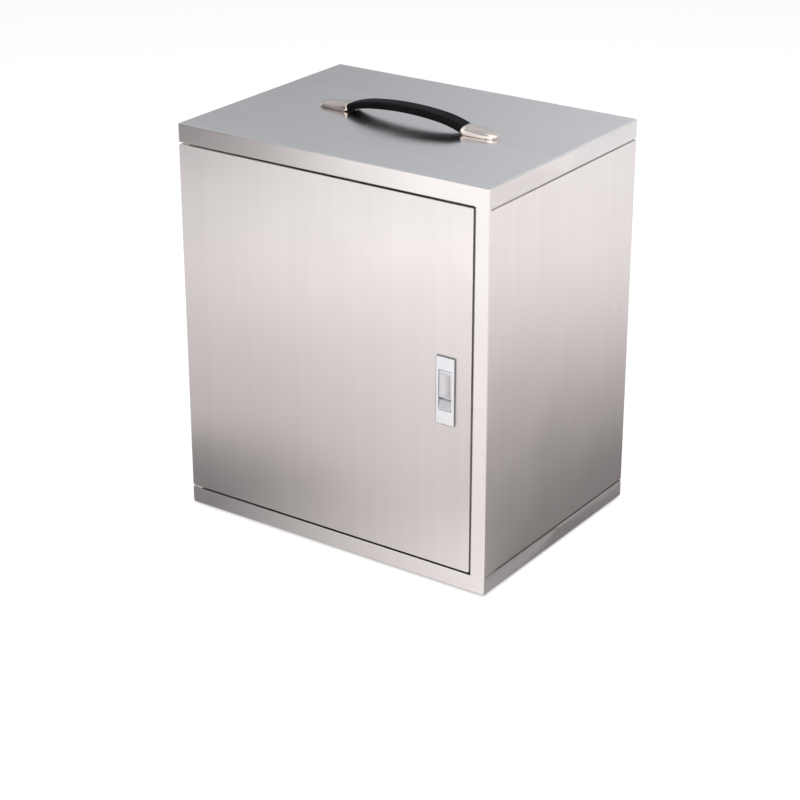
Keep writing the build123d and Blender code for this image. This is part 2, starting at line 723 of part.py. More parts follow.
latch_bolt.part.label = "latch_bolt"
export_step(latch_bolt.part, "parts/latch_bolt.step")

with BuildPart() as bolt_guide:
    guide_low_z = bolt_low_z - spring_lug_drop - 2 * bolt_play - guide_wall
    guide_high_z = bolt_high_z + bolt_play + guide_wall
    guide_half = slot_thick / 2 + bolt_play + guide_wall
    block(guide_x0, guide_x1, bolt_y - guide_half, bolt_y + guide_half, guide_low_z, guide_high_z)
    block(guide_x0, guide_x1, bolt_y - guide_half + guide_wall, bolt_y + guide_half - guide_wall,
          guide_low_z + guide_wall, guide_high_z - guide_wall, mode=Mode.SUBTRACT)
bolt_guide.part.label = "bolt_guide"
export_step(bolt_guide.part, "parts/bolt_guide.step")


def coil_spring(seat, direction, outside, wire, length):
    """One unbroken wound wire that stands on a seat point, with spring_turns turns."""
    rise = length - wire
    start = Vector(*seat) + Vector(*direction) * (wire / 2)
    with BuildPart() as spring:
        with BuildLine() as coil:
            Helix(rise / spring_turns, rise, (outside - wire) / 2, center=start, direction=direction)
        with BuildSketch(Plane(origin=coil.line @ 0, z_dir=coil.line % 0)):
            Circle(wire / 2)
        sweep(is_frenet=True)
    return spring


button_mid_z = (button_top_z + button_bottom_z) / 2
button_spring_length = box_back_y - box_wall - button_back_y - button_travel - spring_gap
button_seat = (latch_x, box_back_y - box_wall, button_mid_z)
button_spring = coil_spring(button_seat, (0, -1, 0), button_spring_width, button_spring_wire,
                            button_spring_length)
button_spring.part.label = "button_spring"
export_step(button_spring.part, "parts/button_spring.step")

bolt_seat = (guide_x0, bolt_y, spring_z)
bolt_spring = coil_spring(bolt_seat, (1, 0, 0), bolt_spring_width, bolt_spring_wire, bolt_spring_length)
bolt_spring.part.label = "bolt_spring"
export_step(bolt_spring.part, "parts/bolt_spring.step")

# Clamp that pulls the latch frame against the door skin
clamp_top_z = box_top_z + clamp_gap
clamp_bottom_z = box_bottom_z - clamp_gap
clamp_line = [
    (skin_back_y, clamp_top_z + clamp_foot),
    (skin_back_y, clamp_top_z),
    (box_back_y, clamp_top_z),
    (box_back_y, clamp_bottom_z),
    (skin_back_y, clamp_bottom_z),
    (skin_back_y, clamp_bottom_z - clamp_foot),
]
with BuildPart() as latch_clamp:
    with BuildSketch(Plane.YZ.offset(latch_x)):
        add(bent_strip(clamp_line, clamp_sheet, Side.LEFT))
    extrude(amount=clamp_width / 2, both=True)
    for boss_z in boss_heights:
        with Locations(Location((latch_x, box_back_y, boss_z), (90, 0, 0))):
            Cylinder(clamp_screw / 2 + pin_clearance, cut_through * clamp_sheet, mode=Mode.SUBTRACT)
latch_clamp.part.label = "latch_clamp"
export_step(latch_clamp.part, "parts/latch_clamp.step")

with BuildPart() as latch_clamp_screws:
    head_y = box_back_y + clamp_sheet
    with BuildSketch(Plane.XZ.offset(-head_y)):
        with Locations(*[(latch_x, z) for z in boss_heights]):
            Circle(clamp_screw_head / 2)
    extrude(amount=-clamp_screw_head_height)
    with BuildSketch(Plane.XZ.offset(-head_y)):
        with Locations(*[(latch_x, z) for z in boss_heights]):
            Circle(clamp_screw / 2)
    extrude(amount=clamp_screw_length)
latch_clamp_screws.part.label = "latch_clamp_screws"
export_step(latch_clamp_screws.part, "parts/latch_clamp_screws.step")

# Strike plate inside the stile, with its two screws
strike_x = stile_x + outer_sheet
strike_screw_places = [(bolt_y, latch_z + end * strike_screw_pitch / 2) for end in (-1, 1)]
with BuildPart() as strike_plate:
    with BuildSketch(Plane.YZ.offset(strike_x)):
        with Locations((bolt_y, latch_z)):
            Rectangle(strike_width, strike_height)
            Rectangle(slot_thick, slot_height, mode=Mode.SUBTRACT)
        with Locations(*strike_screw_places):
            Circle(strike_screw / 2 + pin_clearance, mode=Mode.SUBTRACT)
    extrude(amount=strike_thick)
strike_plate.part.label = "strike_plate"
export_step(strike_plate.part, "parts/strike_plate.step")

with BuildPart() as strike_screws:
    with BuildSketch(Plane.YZ.offset(stile_x)):
        with Locations(*strike_screw_places):
            Circle(strike_screw_head / 2)
    extrude(amount=-edge_radius)
    with BuildSketch(Plane.YZ.offset(stile_x)):
        with Locations(*strike_screw_places):
            Circle(strike_screw / 2)
    extrude(amount=outer_sheet + 2 * strike_thick)
strike_screws.part.label = "strike_screws"
export_step(strike_screws.part, "parts/strike_screws.step")

# Shelf rack: two uprights and the angle runners on each side
runner_face_x = cavity_x - upright_thick
for side_name, sign in (("rack_left", -1), ("rack_right", 1)):
    with BuildPart() as rack:
        for upright_y in upright_places:
            with Locations((sign * (cavity_x - upright_thick / 2), upright_y, (floor_z + ceiling_z) / 2)):
                Box(upright_thick, upright_width, ceiling_z - floor_z - 2 * upright_end_gap)
        for level_z in level_heights:
            with BuildSketch(Plane.XZ.offset(-liner_front_y - runner_end_gap)):
                with Locations((sign * (runner_face_x - runner_leg / 2), level_z - runner_sheet / 2)):
                    Rectangle(runner_leg, runner_sheet)
                with Locations((sign * (runner_face_x - runner_sheet / 2), level_z - runner_leg / 2)):
                    Rectangle(runner_sheet, runner_leg)
            extrude(amount=liner_front_y + 2 * runner_end_gap - cavity_back_y)
        for upright_y in upright_places:
            for screw_z in rack_screw_heights:
                with Locations(Location((sign * cavity_x, upright_y, screw_z), (0, 90, 0))):
                    Cylinder(rack_screw / 2 + pin_clearance, cut_through * upright_thick,
                             mode=Mode.SUBTRACT)
    rack.part.label = side_name
    export_step(rack.part, f"parts/{side_name}.step")

with BuildPart() as rack_screws:
    for x, y, z in rack_screw_places:
        inward = -1 if x > 0 else 1
        with BuildSketch(Plane.YZ.offset(x + inward * upright_thick)):
            with Locations((y, z)):
                Circle(rack_screw_head / 2)
        extrude(amount=inward * rack_screw_head_height)
        with BuildSketch(Plane.YZ.offset(x + inward * upright_thick)):
            with Locations((y, z)):
                Circle(rack_screw / 2)
        extrude(amount=-inward * (upright_thick + liner_sheet + foam_play / 2))
rack_screws.part.label = "rack_screws"
export_step(rack_screws.part, "parts/rack_screws.step")

# Wire shelves: a round frame, cross wires on it and two stays under the wires
shelf_x = cavity_x - upright_thick - runner_sheet - shelf_play - shelf_wire / 2
shelf_front_y = liner_front_y + shelf_end_gap
shelf_back_y = cavity_back_y - shelf_end_gap
shelf_mid_y = (shelf_front_y + shelf_back_y) / 2
shelf_half_y = (shelf_back_y - shelf_front_y) / 2
wire_count = int(2 * (shelf_x - cross_wire_pitch / 2) / cross_wire_pitch) + 1
for shelf_number, level_z in enumerate(level_heights, start=1):
    frame_z = level_z + shelf_rest_gap + shelf_wire / 2
    wire_z = frame_z + (shelf_wire + cross_wire) / 2 - weld_sink
    with BuildPart() as wire_shelf:
        with BuildLine(Plane.XY.offset(frame_z)) as frame_line:
            FilletPolyline(
                (0, shelf_front_y),
                (shelf_x, shelf_front_y),
                (shelf_x, shelf_back_y),
                (0, shelf_back_y),
                radius=shelf_corner,
            )
        with BuildSketch(Plane.YZ):
            with Locations((shelf_front_y, frame_z)):
                Circle(shelf_wire / 2)
        sweep(path=frame_line.line)
        mirror(about=Plane.YZ)
        with Locations(Location((0, shelf_mid_y, wire_z), (90, 0, 0))):
            with GridLocations(cross_wire_pitch, 1, wire_count, 1):
                Cylinder(cross_wire / 2, 2 * shelf_half_y)
        for stay_y in (shelf_mid_y - shelf_half_y / 2, shelf_mid_y + shelf_half_y / 2):
            with Locations(Location((0, stay_y, frame_z), (0, 90, 0))):
                Cylinder(shelf_wire / 2, 2 * shelf_x)
    wire_shelf.part.label = f"wire_shelf_{shelf_number}"
    export_step(wire_shelf.part, f"parts/wire_shelf_{shelf_number}.step")

# Handle grip: a bar with round shoulders swept along its line, with a slot for the strap inside
middle_plane = Plane(origin=(0, 0, lid_z + handle_apex), x_dir=(0, 1, 0), z_dir=(1, 0, 0))
with BuildPart() as handle_grip:
    with BuildSketch(middle_plane) as grip_outline:
        Rectangle(grip_width, grip_thick)
        fillet(grip_outline.vertices().group_by(Axis.Y)[-1], grip_shoulder)
        fillet(grip_outline.vertices().group_by(Axis.Y)[0], grip_corner)
        Rectangle(strap_width + 2 * strap_play, strap_thick + 2 * strap_play, mode=Mode.SUBTRACT)
    sweep(path=grip_line.line)
    mirror(about=Plane.YZ)
handle_grip.part.label = "handle_grip"
export_step(handle_grip.part, "parts/handle_grip.step")

# Handle strap: runs inside the grip and lies flat on the lid inside each metal end
with BuildPart() as handle_strap:
    with BuildSketch(middle_plane):
        Rectangle(strap_width, strap_thick)
    with BuildLine(lid_side) as strap_line:
        strap_crown = JernArc((0, handle_apex), (1, 0), grip_crown_radius, -crown_angle)
        strap_bend = JernArc(strap_crown @ 1, strap_crown % 1, grip_bend_radius,
                             crown_angle - grip_end_slope)
        strap_ease = JernArc(strap_bend @ 1, strap_bend % 1, strap_bend_radius, grip_end_slope)
        Line(strap_ease @ 1, (strap_flat_x + strap_flat, strap_thick / 2))
    sweep(path=strap_line.line)
    mirror(about=Plane.YZ)
    with Locations((-handle_screw_x, 0, lid_z + strap_thick), (handle_screw_x, 0, lid_z + strap_thick)):
        Hole(handle_screw / 2 + pin_clearance, depth=2 * strap_thick)
handle_strap.part.label = "handle_strap"
export_step(handle_strap.part, "parts/handle_strap.step")


def end_section(plane, width, height, shoulder, foot):
    """Upright outline of a metal end: round shoulders over a nearly square foot."""
    with BuildSketch(plane) as section:
        Rectangle(width, height)
        fillet(section.vertices().group_by(Axis.Y)[-1], shoulder)
        fillet(section.vertices().group_by(Axis.Y)[0], foot)
    return section.sketch


# Handle ends: metal shoes that taper from the grip down to a rounded tip on the lid
joint_top = joint_height + grip_thick / 2 * cos(slope)
for end_name, sign in (("handle_end_left", -1), ("handle_end_right", 1)):
    with BuildPart() as handle_end:
        joint_plane = Plane(origin=(sign * joint_x, 0, lid_z + joint_height), x_dir=(0, sign, 0),
                            z_dir=(sign * cos(slope), 0, -sin(slope)))
        add(end_section(joint_plane, grip_width, grip_thick, grip_shoulder, grip_corner))
        for i in range(1, end_sections):
            along = sin(radians(90) * i / (end_sections - 0.5))
            height = end_tip + (joint_top - end_tip) * (1 - along) ** end_droop
            width = grip_width * sqrt(1 - along**end_nose)
            section_plane = Plane(origin=(sign * (joint_x + along * end_length), 0, lid_z + height / 2),
                                  x_dir=(0, sign, 0), z_dir=(sign, 0, 0))
            add(end_section(section_plane, width, height, end_shoulder * height, end_foot * height))
        loft()
        block(-side_x, side_x, -grip_width, grip_width, lid_z - grip_thick, lid_z, mode=Mode.SUBTRACT)
        with BuildSketch(lid_side):
            with BuildLine():
                Polyline(
                    (sign * (joint_x - grip_thick), 0),
                    (sign * (joint_x - grip_thick), joint_height + strap_thick / 2 + strap_play),
                    (sign * joint_x, joint_height + strap_thick / 2 + strap_play),
                    (sign * strap_flat_x, strap_thick + 2 * strap_play),
                    (sign * (strap_flat_x + strap_flat + strap_play), strap_thick + 2 * strap_play),
                    (sign * (strap_flat_x + strap_flat + strap_play), 0),
                    close=True,
                )
            make_face()
        extrude(amount=strap_width / 2 + strap_play, both=True, mode=Mode.SUBTRACT)
    handle_end.part.label = end_name
    export_step(handle_end.part, f"parts/{end_name}.step")

# Handle fixings under the lid
under_lid_z = lid_z - outer_sheet
with BuildPart() as handle_plates:
    with BuildSketch(Plane.XY.offset(under_lid_z)):
        with Locations((-handle_screw_x, 0), (handle_screw_x, 0)):
            Rectangle(handle_plate_length, handle_plate_width)
            Circle(handle_screw / 2 + pin_clearance, mode=Mode.SUBTRACT)
    extrude(amount=-handle_plate_thick)
handle_plates.part.label = "handle_plates"
export_step(handle_plates.part, "parts/handle_plates.step")

with BuildPart() as handle_screws:
    screw_seat_z = under_lid_z - handle_plate_thick
    with BuildSketch(Plane.XY.offset(screw_seat_z)):
        with Locations((-handle_screw_x, 0), (handle_screw_x, 0)):
            Circle(handle_screw_head / 2)
    extrude(amount=-handle_screw_head_height)
    with BuildSketch(Plane.XY.offset(screw_seat_z)):
        with Locations((-handle_screw_x, 0), (handle_screw_x, 0)):
            Circle(handle_screw / 2)
    extrude(amount=handle_plate_thick + outer_sheet + strap_thick)
handle_screws.part.label = "handle_screws"
export_step(handle_screws.part, "parts/handle_screws.step")
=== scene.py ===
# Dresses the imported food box: the finishes of its sheets, its latch, handle, seal, shelves, screws and
# feet, and a small studio round it.
# Metres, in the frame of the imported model: X right, Y back, Z up, origin on the ground under the middle.

import math

import bmesh
import bpy
from bpy.props import FloatProperty, FloatVectorProperty
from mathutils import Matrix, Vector


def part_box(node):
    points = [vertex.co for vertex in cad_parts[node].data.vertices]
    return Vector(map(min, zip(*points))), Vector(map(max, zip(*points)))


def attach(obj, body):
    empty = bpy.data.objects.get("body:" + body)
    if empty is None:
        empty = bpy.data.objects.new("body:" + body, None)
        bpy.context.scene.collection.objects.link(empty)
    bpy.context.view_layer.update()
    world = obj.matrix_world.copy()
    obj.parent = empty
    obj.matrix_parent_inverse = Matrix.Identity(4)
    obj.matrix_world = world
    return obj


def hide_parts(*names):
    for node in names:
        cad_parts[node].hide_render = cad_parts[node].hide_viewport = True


bl_info = {
    "name": "Insulated food box",
    "version": (1, 0, 0),
    "blender": (4, 5, 0),
    "location": "3D View > Sidebar > Food box",
    "description": "Finishes and small pieces of an insulated steel food box",
    "category": "Object",
}

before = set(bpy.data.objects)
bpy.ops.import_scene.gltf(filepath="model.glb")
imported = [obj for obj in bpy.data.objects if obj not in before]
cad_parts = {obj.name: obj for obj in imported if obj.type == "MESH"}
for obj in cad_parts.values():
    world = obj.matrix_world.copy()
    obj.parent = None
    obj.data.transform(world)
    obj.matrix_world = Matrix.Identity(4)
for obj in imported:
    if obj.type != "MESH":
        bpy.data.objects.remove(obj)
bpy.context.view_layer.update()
lid_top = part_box("cap_tray")[1].z
SAME_POINT = 1e-6
SHARP_ANGLE = math.radians(38)

# What the settings of one kind have in common
LENGTH = {"subtype": "DISTANCE", "unit": "LENGTH", "min": 0}
COLOUR = {"subtype": "COLOR", "size": 3, "min": 0, "max": 1}


class FinishSettings(bpy.types.PropertyGroup):
    """Colours and grain of the box's materials."""

    steel_light: FloatVectorProperty(
        name="Steel, light", description="Colour of the brushed sheet between its darker streaks",
        default=(0.83, 0.795, 0.785), **COLOUR)
    steel_dark: FloatVectorProperty(
        name="Steel, dark", description="Colour of the brushed sheet in its darker streaks",
        default=(0.80, 0.765, 0.755), **COLOUR)
    steel_roughness: FloatProperty(
        name="Steel roughness", description="How blurred the brushed sheet's reflections are",
        subtype="FACTOR", min=0, max=1, default=0.34)
    grain_depth: FloatProperty(
        name="Grain depth", description="How deep the brushed lines stand in the sheet",
        default=0.00004, **LENGTH)
    gloss_smear: FloatProperty(
        name="Gloss smear", description="How much wider reflections spread across the brushed lines",
        subtype="FACTOR", min=0, max=1, default=0.8)
    lid_gloss: FloatProperty(
        name="Lid gloss", description="How much less rough the lid's top is than the other sheets",
        subtype="FACTOR", min=0, max=0.3, default=0.25)
    grip_colour: FloatVectorProperty(
        name="Grip", description="Colour of the moulded carrying grip",
        default=(0.0035, 0.0035, 0.0045), **COLOUR)
    nickel_colour: FloatVectorProperty(
        name="Handle ends", description="Colour of the plated handle ends",
        default=(0.74, 0.665, 0.62), **COLOUR)
    alloy_colour: FloatVectorProperty(
        name="Latch", description="Colour of the cast latch plate, paddle and button",
        default=(0.86, 0.86, 0.89), **COLOUR)


class HandleSettings(bpy.types.PropertyGroup):
    """Shape of the plated handle ends."""

    grip_thick: FloatProperty(
        name="Grip thickness", description="Thickness of the grip where it runs into its metal ends",
        default=0.0085, **LENGTH)
    slope: FloatProperty(
        name="Grip slope", description="How steeply the grip runs into its metal ends",
        subtype="ANGLE", unit="ROTATION", default=math.radians(21))
    nose: FloatProperty(
        name="Nose", description="Bluntness of the tip in plan, where 2 is an ellipse",
        min=1.5, max=12, default=6.5)
    droop: FloatProperty(
        name="Droop", description="How fast the top of an end falls towards its tip",
        min=0.3, max=2, default=0.5)
    tip_height: FloatProperty(
        name="Tip height", description="Height of an end just before its tip",
        default=0.003, **LENGTH)
    collar: FloatProperty(
        name="Collar", description="How far an end stands outside the grip's outline at the joint",
        default=0.0007, **LENGTH)
    rim: FloatProperty(
        name="Rim", description="Length of the rounded rim at the joint",
        subtype="DISTANCE", unit="LENGTH", min=0.0001, default=0.0018)


class LatchSettings(bpy.types.PropertyGroup):
    """The rubber ring between the latch plate and the door. Its dark grey is partly a real gasket and partly
    painted shade for the shadow line round the plate.
    """

    seal_height: FloatProperty(
        name="Ring height", description="How far the ring stands off the door",
        default=0.0021, **LENGTH)
    seal_lip: FloatProperty(
        name="Ring lip", description="How far the ring shows round the plate",
        default=0.00075, **LENGTH)
    seal_lip_height: FloatProperty(
        name="Lip height", description="How far the lip's outer edge stands off the door",
        default=0.00168, **LENGTH)
    seal_overlap: FloatProperty(
        name="Ring overlap", description="How far the ring reaches in under the plate",
        default=0.002, **LENGTH)
    seal_corner: FloatProperty(
        name="Ring corner", description="Radius of the ring's corners at the plate's outline",
        default=0.001, **LENGTH)
    seal_inner_corner: FloatProperty(
        name="Inner corner", description="Smallest radius of the ring's corners under the plate",
        default=0.0002, **LENGTH)


class ScrewSettings(bpy.types.PropertyGroup):
    """Heads of the screws, as shares of each head's own size."""

    recess_share: FloatProperty(
        name="Recess length", description="Length of the cross recess as a share of the head's width",
        subtype="FACTOR", min=0, max=0.9, default=0.56)
    recess_width_share: FloatProperty(
        name="Recess width", description="Width of each slot as a share of the head's width",
        subtype="FACTOR", min=0, max=0.5, default=0.13)
    recess_depth_share: FloatProperty(
        name="Recess depth", description="Depth of the recess as a share of the head's height",
        subtype="FACTOR", min=0, max=0.9, default=0.65)
    rack_head_height: FloatProperty(
        name="Rack screw head", description="Height of the heads of the rack screws",
        default=0.0018, **LENGTH)
    shank_length: FloatProperty(
        name="Shank", description="How far the shank reaches in under the head",
        default=0.0008, **LENGTH)


class ShelfSettings(bpy.types.PropertyGroup):
    """Wires of the shelves."""

    frame_wire: FloatProperty(
        name="Frame wire", description="Thickness of the frame wire and the stays",
        default=0.005, **LENGTH)
    cross_wire: FloatProperty(
        name="Cross wire", description="Thickness of the wires that the trays stand on",
        default=0.003, **LENGTH)
    pitch: FloatProperty(
        name="Pitch", description="From one cross wire to the next",
        subtype="DISTANCE", unit="LENGTH", min=0.001, default=0.025)
    corner: FloatProperty(
        name="Corner", description="Radius of the frame's bends",
        default=0.01, **LENGTH)
    weld: FloatProperty(
        name="Weld", description="Size of the bead where two wires are welded",
        default=0.0021, **LENGTH)


class SealSettings(bpy.types.PropertyGroup):
    """Section of the door seal."""

    section_width: FloatProperty(
        name="Section width", description="Width of the rubber section",
        default=0.009, **LENGTH)
    rib_depth: FloatProperty(
        name="Rib depth", description="Depth of the grooves between the ribs",
        default=0.0003, **LENGTH)
    corner: FloatProperty(
        name="Corner", description="Radius of the section's middle line at the corners",
        default=0.0055, **LENGTH)


class StageSettings(bpy.types.PropertyGroup):
    """Camera and light of the studio."""

    azimuth: FloatProperty(
        name="Camera azimuth", description="How far round to the right the camera stands",
        subtype="ANGLE", unit="ROTATION", default=math.radians(34.7))
    elevation: FloatProperty(
        name="Camera elevation", description="How far above the horizon the camera stands",
        subtype="ANGLE", unit="ROTATION", default=math.radians(23.83))
    distance: FloatProperty(
        name="Camera distance", description="From the camera to the point that it looks at",
        subtype="DISTANCE", unit="LENGTH", min=0.1, default=2.773)
    aim: FloatVectorProperty(
        name="Aim", description="The point that the camera looks at",
        subtype="TRANSLATION", unit="LENGTH", size=3, default=(-0.0122, 0.0, 0.1388))
    lens: FloatProperty(
        name="Focal length", description="On a sensor 36 mm wide",
        subtype="DISTANCE_CAMERA", min=1, default=97.9)
    room_light: FloatProperty(
        name="Room light", description="Strength of the even light from all round",
        min=0, default=0.55)
    floor_glow: FloatProperty(
        name="Floor glow", description="How much the floor glows where the camera or a mirror sees it",
        min=0, default=0.42)


def put_in_scene(name, data):
    thing = bpy.data.objects.new(name, data)
    bpy.context.scene.collection.objects.link(thing)
    return thing


# Node helpers

def put(tree, kind, sockets=None, **options):
    """Adds a node. A socket takes either a plain value or another node's output."""
    node = tree.nodes.new(kind)
    for name, value in options.items():
        setattr(node, name, value)
    for name, value in (sockets or {}).items():
        if isinstance(value, bpy.types.NodeSocket):
            tree.links.new(value, node.inputs[name])
        else:
            node.inputs[name].default_value = value
    return node


def first_of(tree, kind, sockets=None, **options):
    """Adds a node and gives its first output."""
    return put(tree, kind, sockets, **options).outputs[0]


def new_group(name, kind, takes, gives):
    """A node group with named inputs (name, type, default) and outputs (name, type)."""
    group = bpy.data.node_groups.new(name, kind)
    for label, socket_type, value in takes:
        socket = group.interface.new_socket(label, in_out="INPUT", socket_type=socket_type)
        if value is not None:
            socket.default_value = value
    for label, socket_type in gives:
        group.interface.new_socket(label, in_out="OUTPUT", socket_type=socket_type)
    return group, put(group, "NodeGroupInput").outputs, put(group, "NodeGroupOutput").inputs


def math_node(tree, operation, *values):
    return first_of(tree, "ShaderNodeMath", dict(enumerate(values)), operation=operation)


def product(tree, value, *factors):
    for factor in factors:
        value = math_node(tree, "MULTIPLY", value, factor)
    return value


def ramp(tree, value, start, end, low=0.0, high=1.0):
    """Runs from low to high as the value goes from start to end, and stays level outside them."""
    return first_of(tree, "ShaderNodeMapRange", {0: value, 1: start, 2: end, 3: low, 4: high})


# Shader groups that several finishes share

def noise(tree, place, scale, detail, roughness=0.5, distortion=0.0):
    return first_of(tree, "ShaderNodeTexNoise", {"Vector": place, "Scale": scale, "Detail": detail,
                                                 "Roughness": roughness, "Distortion": distortion})


def brushed_grain_group():
    """Lines of a brushing belt: fine lines, wider streaks and faint handling marks."""
    group, given, result = new_group(
        "brushed_grain", "ShaderNodeTree",
        [("Vector", "NodeSocketVector", None), ("Stretch", "NodeSocketVector", (1, 1, 0.01)),
         ("Line Scale", "NodeSocketFloat", 900.0), ("Streak Scale", "NodeSocketFloat", 60.0),
         ("Mark Scale", "NodeSocketFloat", 9.0)],
        [("Streaks", "NodeSocketFloat"), ("Lines", "NodeSocketFloat"), ("Marks", "NodeSocketFloat")])
    drawn = first_of(group, "ShaderNodeVectorMath", {0: given["Vector"], 1: given["Stretch"]},
                     operation="MULTIPLY")
    lines = noise(group, drawn, given["Line Scale"], detail=3.0, roughness=0.65)
    streaks = noise(group, drawn, given["Streak Scale"], detail=4.0, roughness=0.6)
    marks = noise(group, given["Vector"], given["Mark Scale"], detail=3.0, distortion=0.4)
    group.links.new(streaks, result["Streaks"])
    group.links.new(lines, result["Lines"])
    group.links.new(ramp(group, marks, start=0.35, end=0.7), result["Marks"])
    return group


def moulded_grain_group():
    """The fine spark-etched grain of moulded and cast pieces, with soft rubbed patches."""
    group, given, result = new_group(
        "moulded_grain", "ShaderNodeTree",
        [("Vector", "NodeSocketVector", None), ("Grain Scale", "NodeSocketFloat", 1800.0),
         ("Patch Scale", "NodeSocketFloat", 60.0)],
        [("Grain", "NodeSocketFloat"), ("Patches", "NodeSocketFloat")])
    grain = noise(group, given["Vector"], given["Grain Scale"], detail=2.0)
    patches = noise(group, given["Vector"], given["Patch Scale"], detail=3.0, distortion=0.3)
    group.links.new(grain, result["Grain"])
    group.links.new(ramp(group, patches, start=0.35, end=0.7), result["Patches"])
    return group


def shared_group(name, make):
    return bpy.data.node_groups.get(name) or make()


# Finishes

def new_finish(name):
    """A material with its Principled shader, its tree and the piece's own coordinates."""
    material = bpy.data.materials.new(name)
    material.use_nodes = True
    tree = material.node_tree
    tree.nodes.clear()
    shader = put(tree, "ShaderNodeBsdfPrincipled")
    put(tree, "ShaderNodeOutputMaterial", {0: shader.outputs[0]})
    return material, tree, shader.inputs, put(tree, "ShaderNodeTexCoord").outputs["Object"]


def join_colours(tree, low, high, mask, socket):
    """Runs the colour from low to high as the mask goes from 0 to 1."""
    blend = put(tree, "ShaderNodeMix", {0: mask, 6: (*low, 1), 7: (*high, 1)}, data_type="RGBA")
    tree.links.new(blend.outputs[2], socket)


def join_relief(tree, height, depth, socket):
    """Turns a height mask into a normal of the given depth."""
    bump = first_of(tree, "ShaderNodeBump", {"Strength": 1.0, "Distance": depth, "Height": height})
    tree.links.new(bump, socket)


def drawn_along(axis, share):
    """Scale of a texture's coordinates that draws it out along one axis."""
    return tuple(share if letter == axis else 1.0 for letter in "XYZ")


def brushed_finish(name, belt_axis, light, dark, roughness, depth, spread, drawn=0.012, cross_front=False,
                   top_gloss=0.0):
    """Brushed sheet: metal with drawn lines, streaks of tone and faint handling marks.
    Its gloss is smeared across the lines, which run along belt_axis. With cross_front, the faces that
    look to the front are brushed from side to side. With top_gloss, the faces that look up are less rough."""
    material, tree, shader, place = new_finish(name)
    shader["Metallic"].default_value = 1.0
    shader["Anisotropic"].default_value = spread
    smear = first_of(tree, "ShaderNodeTangent", direction_type="RADIAL", axis=belt_axis)
    stretch = drawn_along(belt_axis, drawn)
    if cross_front or top_gloss:
        facing = put(tree, "ShaderNodeSeparateXYZ", {0: put(tree, "ShaderNodeTexCoord").outputs["Normal"]})
    if cross_front:
        front = ramp(tree, facing.outputs["Y"], start=-0.5, end=-0.6)

        def by_face(elsewhere, in_front):
            return put(tree, "ShaderNodeMix", {0: front, 4: elsewhere, 5: in_front},
                       data_type="VECTOR").outputs[1]

        smear = by_face(smear, first_of(tree, "ShaderNodeTangent", direction_type="RADIAL", axis="X"))
        stretch = by_face(stretch, drawn_along("X", drawn))
    tree.links.new(smear, shader["Tangent"])

    grain = put(tree, "ShaderNodeGroup", {"Vector": place, "Stretch": stretch},
                node_tree=shared_group("brushed_grain", brushed_grain_group)).outputs
    tone = ramp(tree, grain["Streaks"], start=0.3, end=0.7)
    join_colours(tree, dark, light, tone, shader["Base Color"])
    wear = math_node(tree, "MULTIPLY_ADD", grain["Marks"], 0.6, grain["Lines"])
    smoothest, roughest = roughness - 0.05, roughness + 0.07
    if top_gloss:
        rough = math_node(tree, "MULTIPLY_ADD", wear, roughest - smoothest, smoothest)
        rising = ramp(tree, facing.outputs["Z"], start=0.8, end=0.95, high=top_gloss)
        rough = math_node(tree, "SUBTRACT", rough, rising)
    else:
        rough = ramp(tree, wear, 0.0, 1.0, smoothest, roughest)
    tree.links.new(rough, shader["Roughness"])
    join_relief(tree, math_node(tree, "ADD", grain["Lines"], grain["Streaks"]), depth, shader["Normal"])
    return material


def moulded_finish(name, light, dark, roughness, depth=0.00001, metallic=0.0, grain_scale=1800.0,
                   specular=0.5):
    """Moulded plastic, rubber or cast metal: etched grain and soft patches that are rubbed rougher."""
    material, tree, shader, place = new_finish(name)
    grain = put(tree, "ShaderNodeGroup", {"Vector": place, "Grain Scale": grain_scale},
                node_tree=shared_group("moulded_grain", moulded_grain_group)).outputs
    shader["Metallic"].default_value = metallic
    shader["Specular IOR Level"].default_value = specular
    join_colours(tree, dark, light, grain["Patches"], shader["Base Color"])
    rubbed = roughness + 0.1
    tree.links.new(ramp(tree, grain["Patches"], 0.0, 1.0, roughness, rubbed), shader["Roughness"])
    join_relief(tree, grain["Grain"], depth, shader["Normal"])
    return material


def darker(colour, share):
    return tuple(channel * share for channel in colour)


def dress(names, finish):
    """Gives CAD nodes a finish."""
    for name in names:
        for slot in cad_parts[name].material_slots:
            slot.material = finish


class FOODBOX_OT_dress_panels(bpy.types.Operator):
    """Gives the outer wrap, the door, the cap and the base their brushed sheet finish"""

    bl_idname = "foodbox.dress_panels"
    bl_label = "Dress the outer panels"

    def execute(self, context):
        finish = context.scene.food_box_finish
        sheet = {"light": finish.steel_light, "dark": finish.steel_dark, "roughness": finish.steel_roughness,
                 "depth": finish.grain_depth, "spread": finish.gloss_smear}
        dress(["door_skin"], brushed_finish("upright_brushed_sheet", "Z", **sheet))
        dress(["cap_tray", "base_tray"],
              brushed_finish("long_brushed_sheet", "X", top_gloss=finish.lid_gloss, **sheet))
        dress(["outer_wrap"], brushed_finish("wrapped_brushed_sheet", "Z", cross_front=True, **sheet))
        return {"FINISHED"}


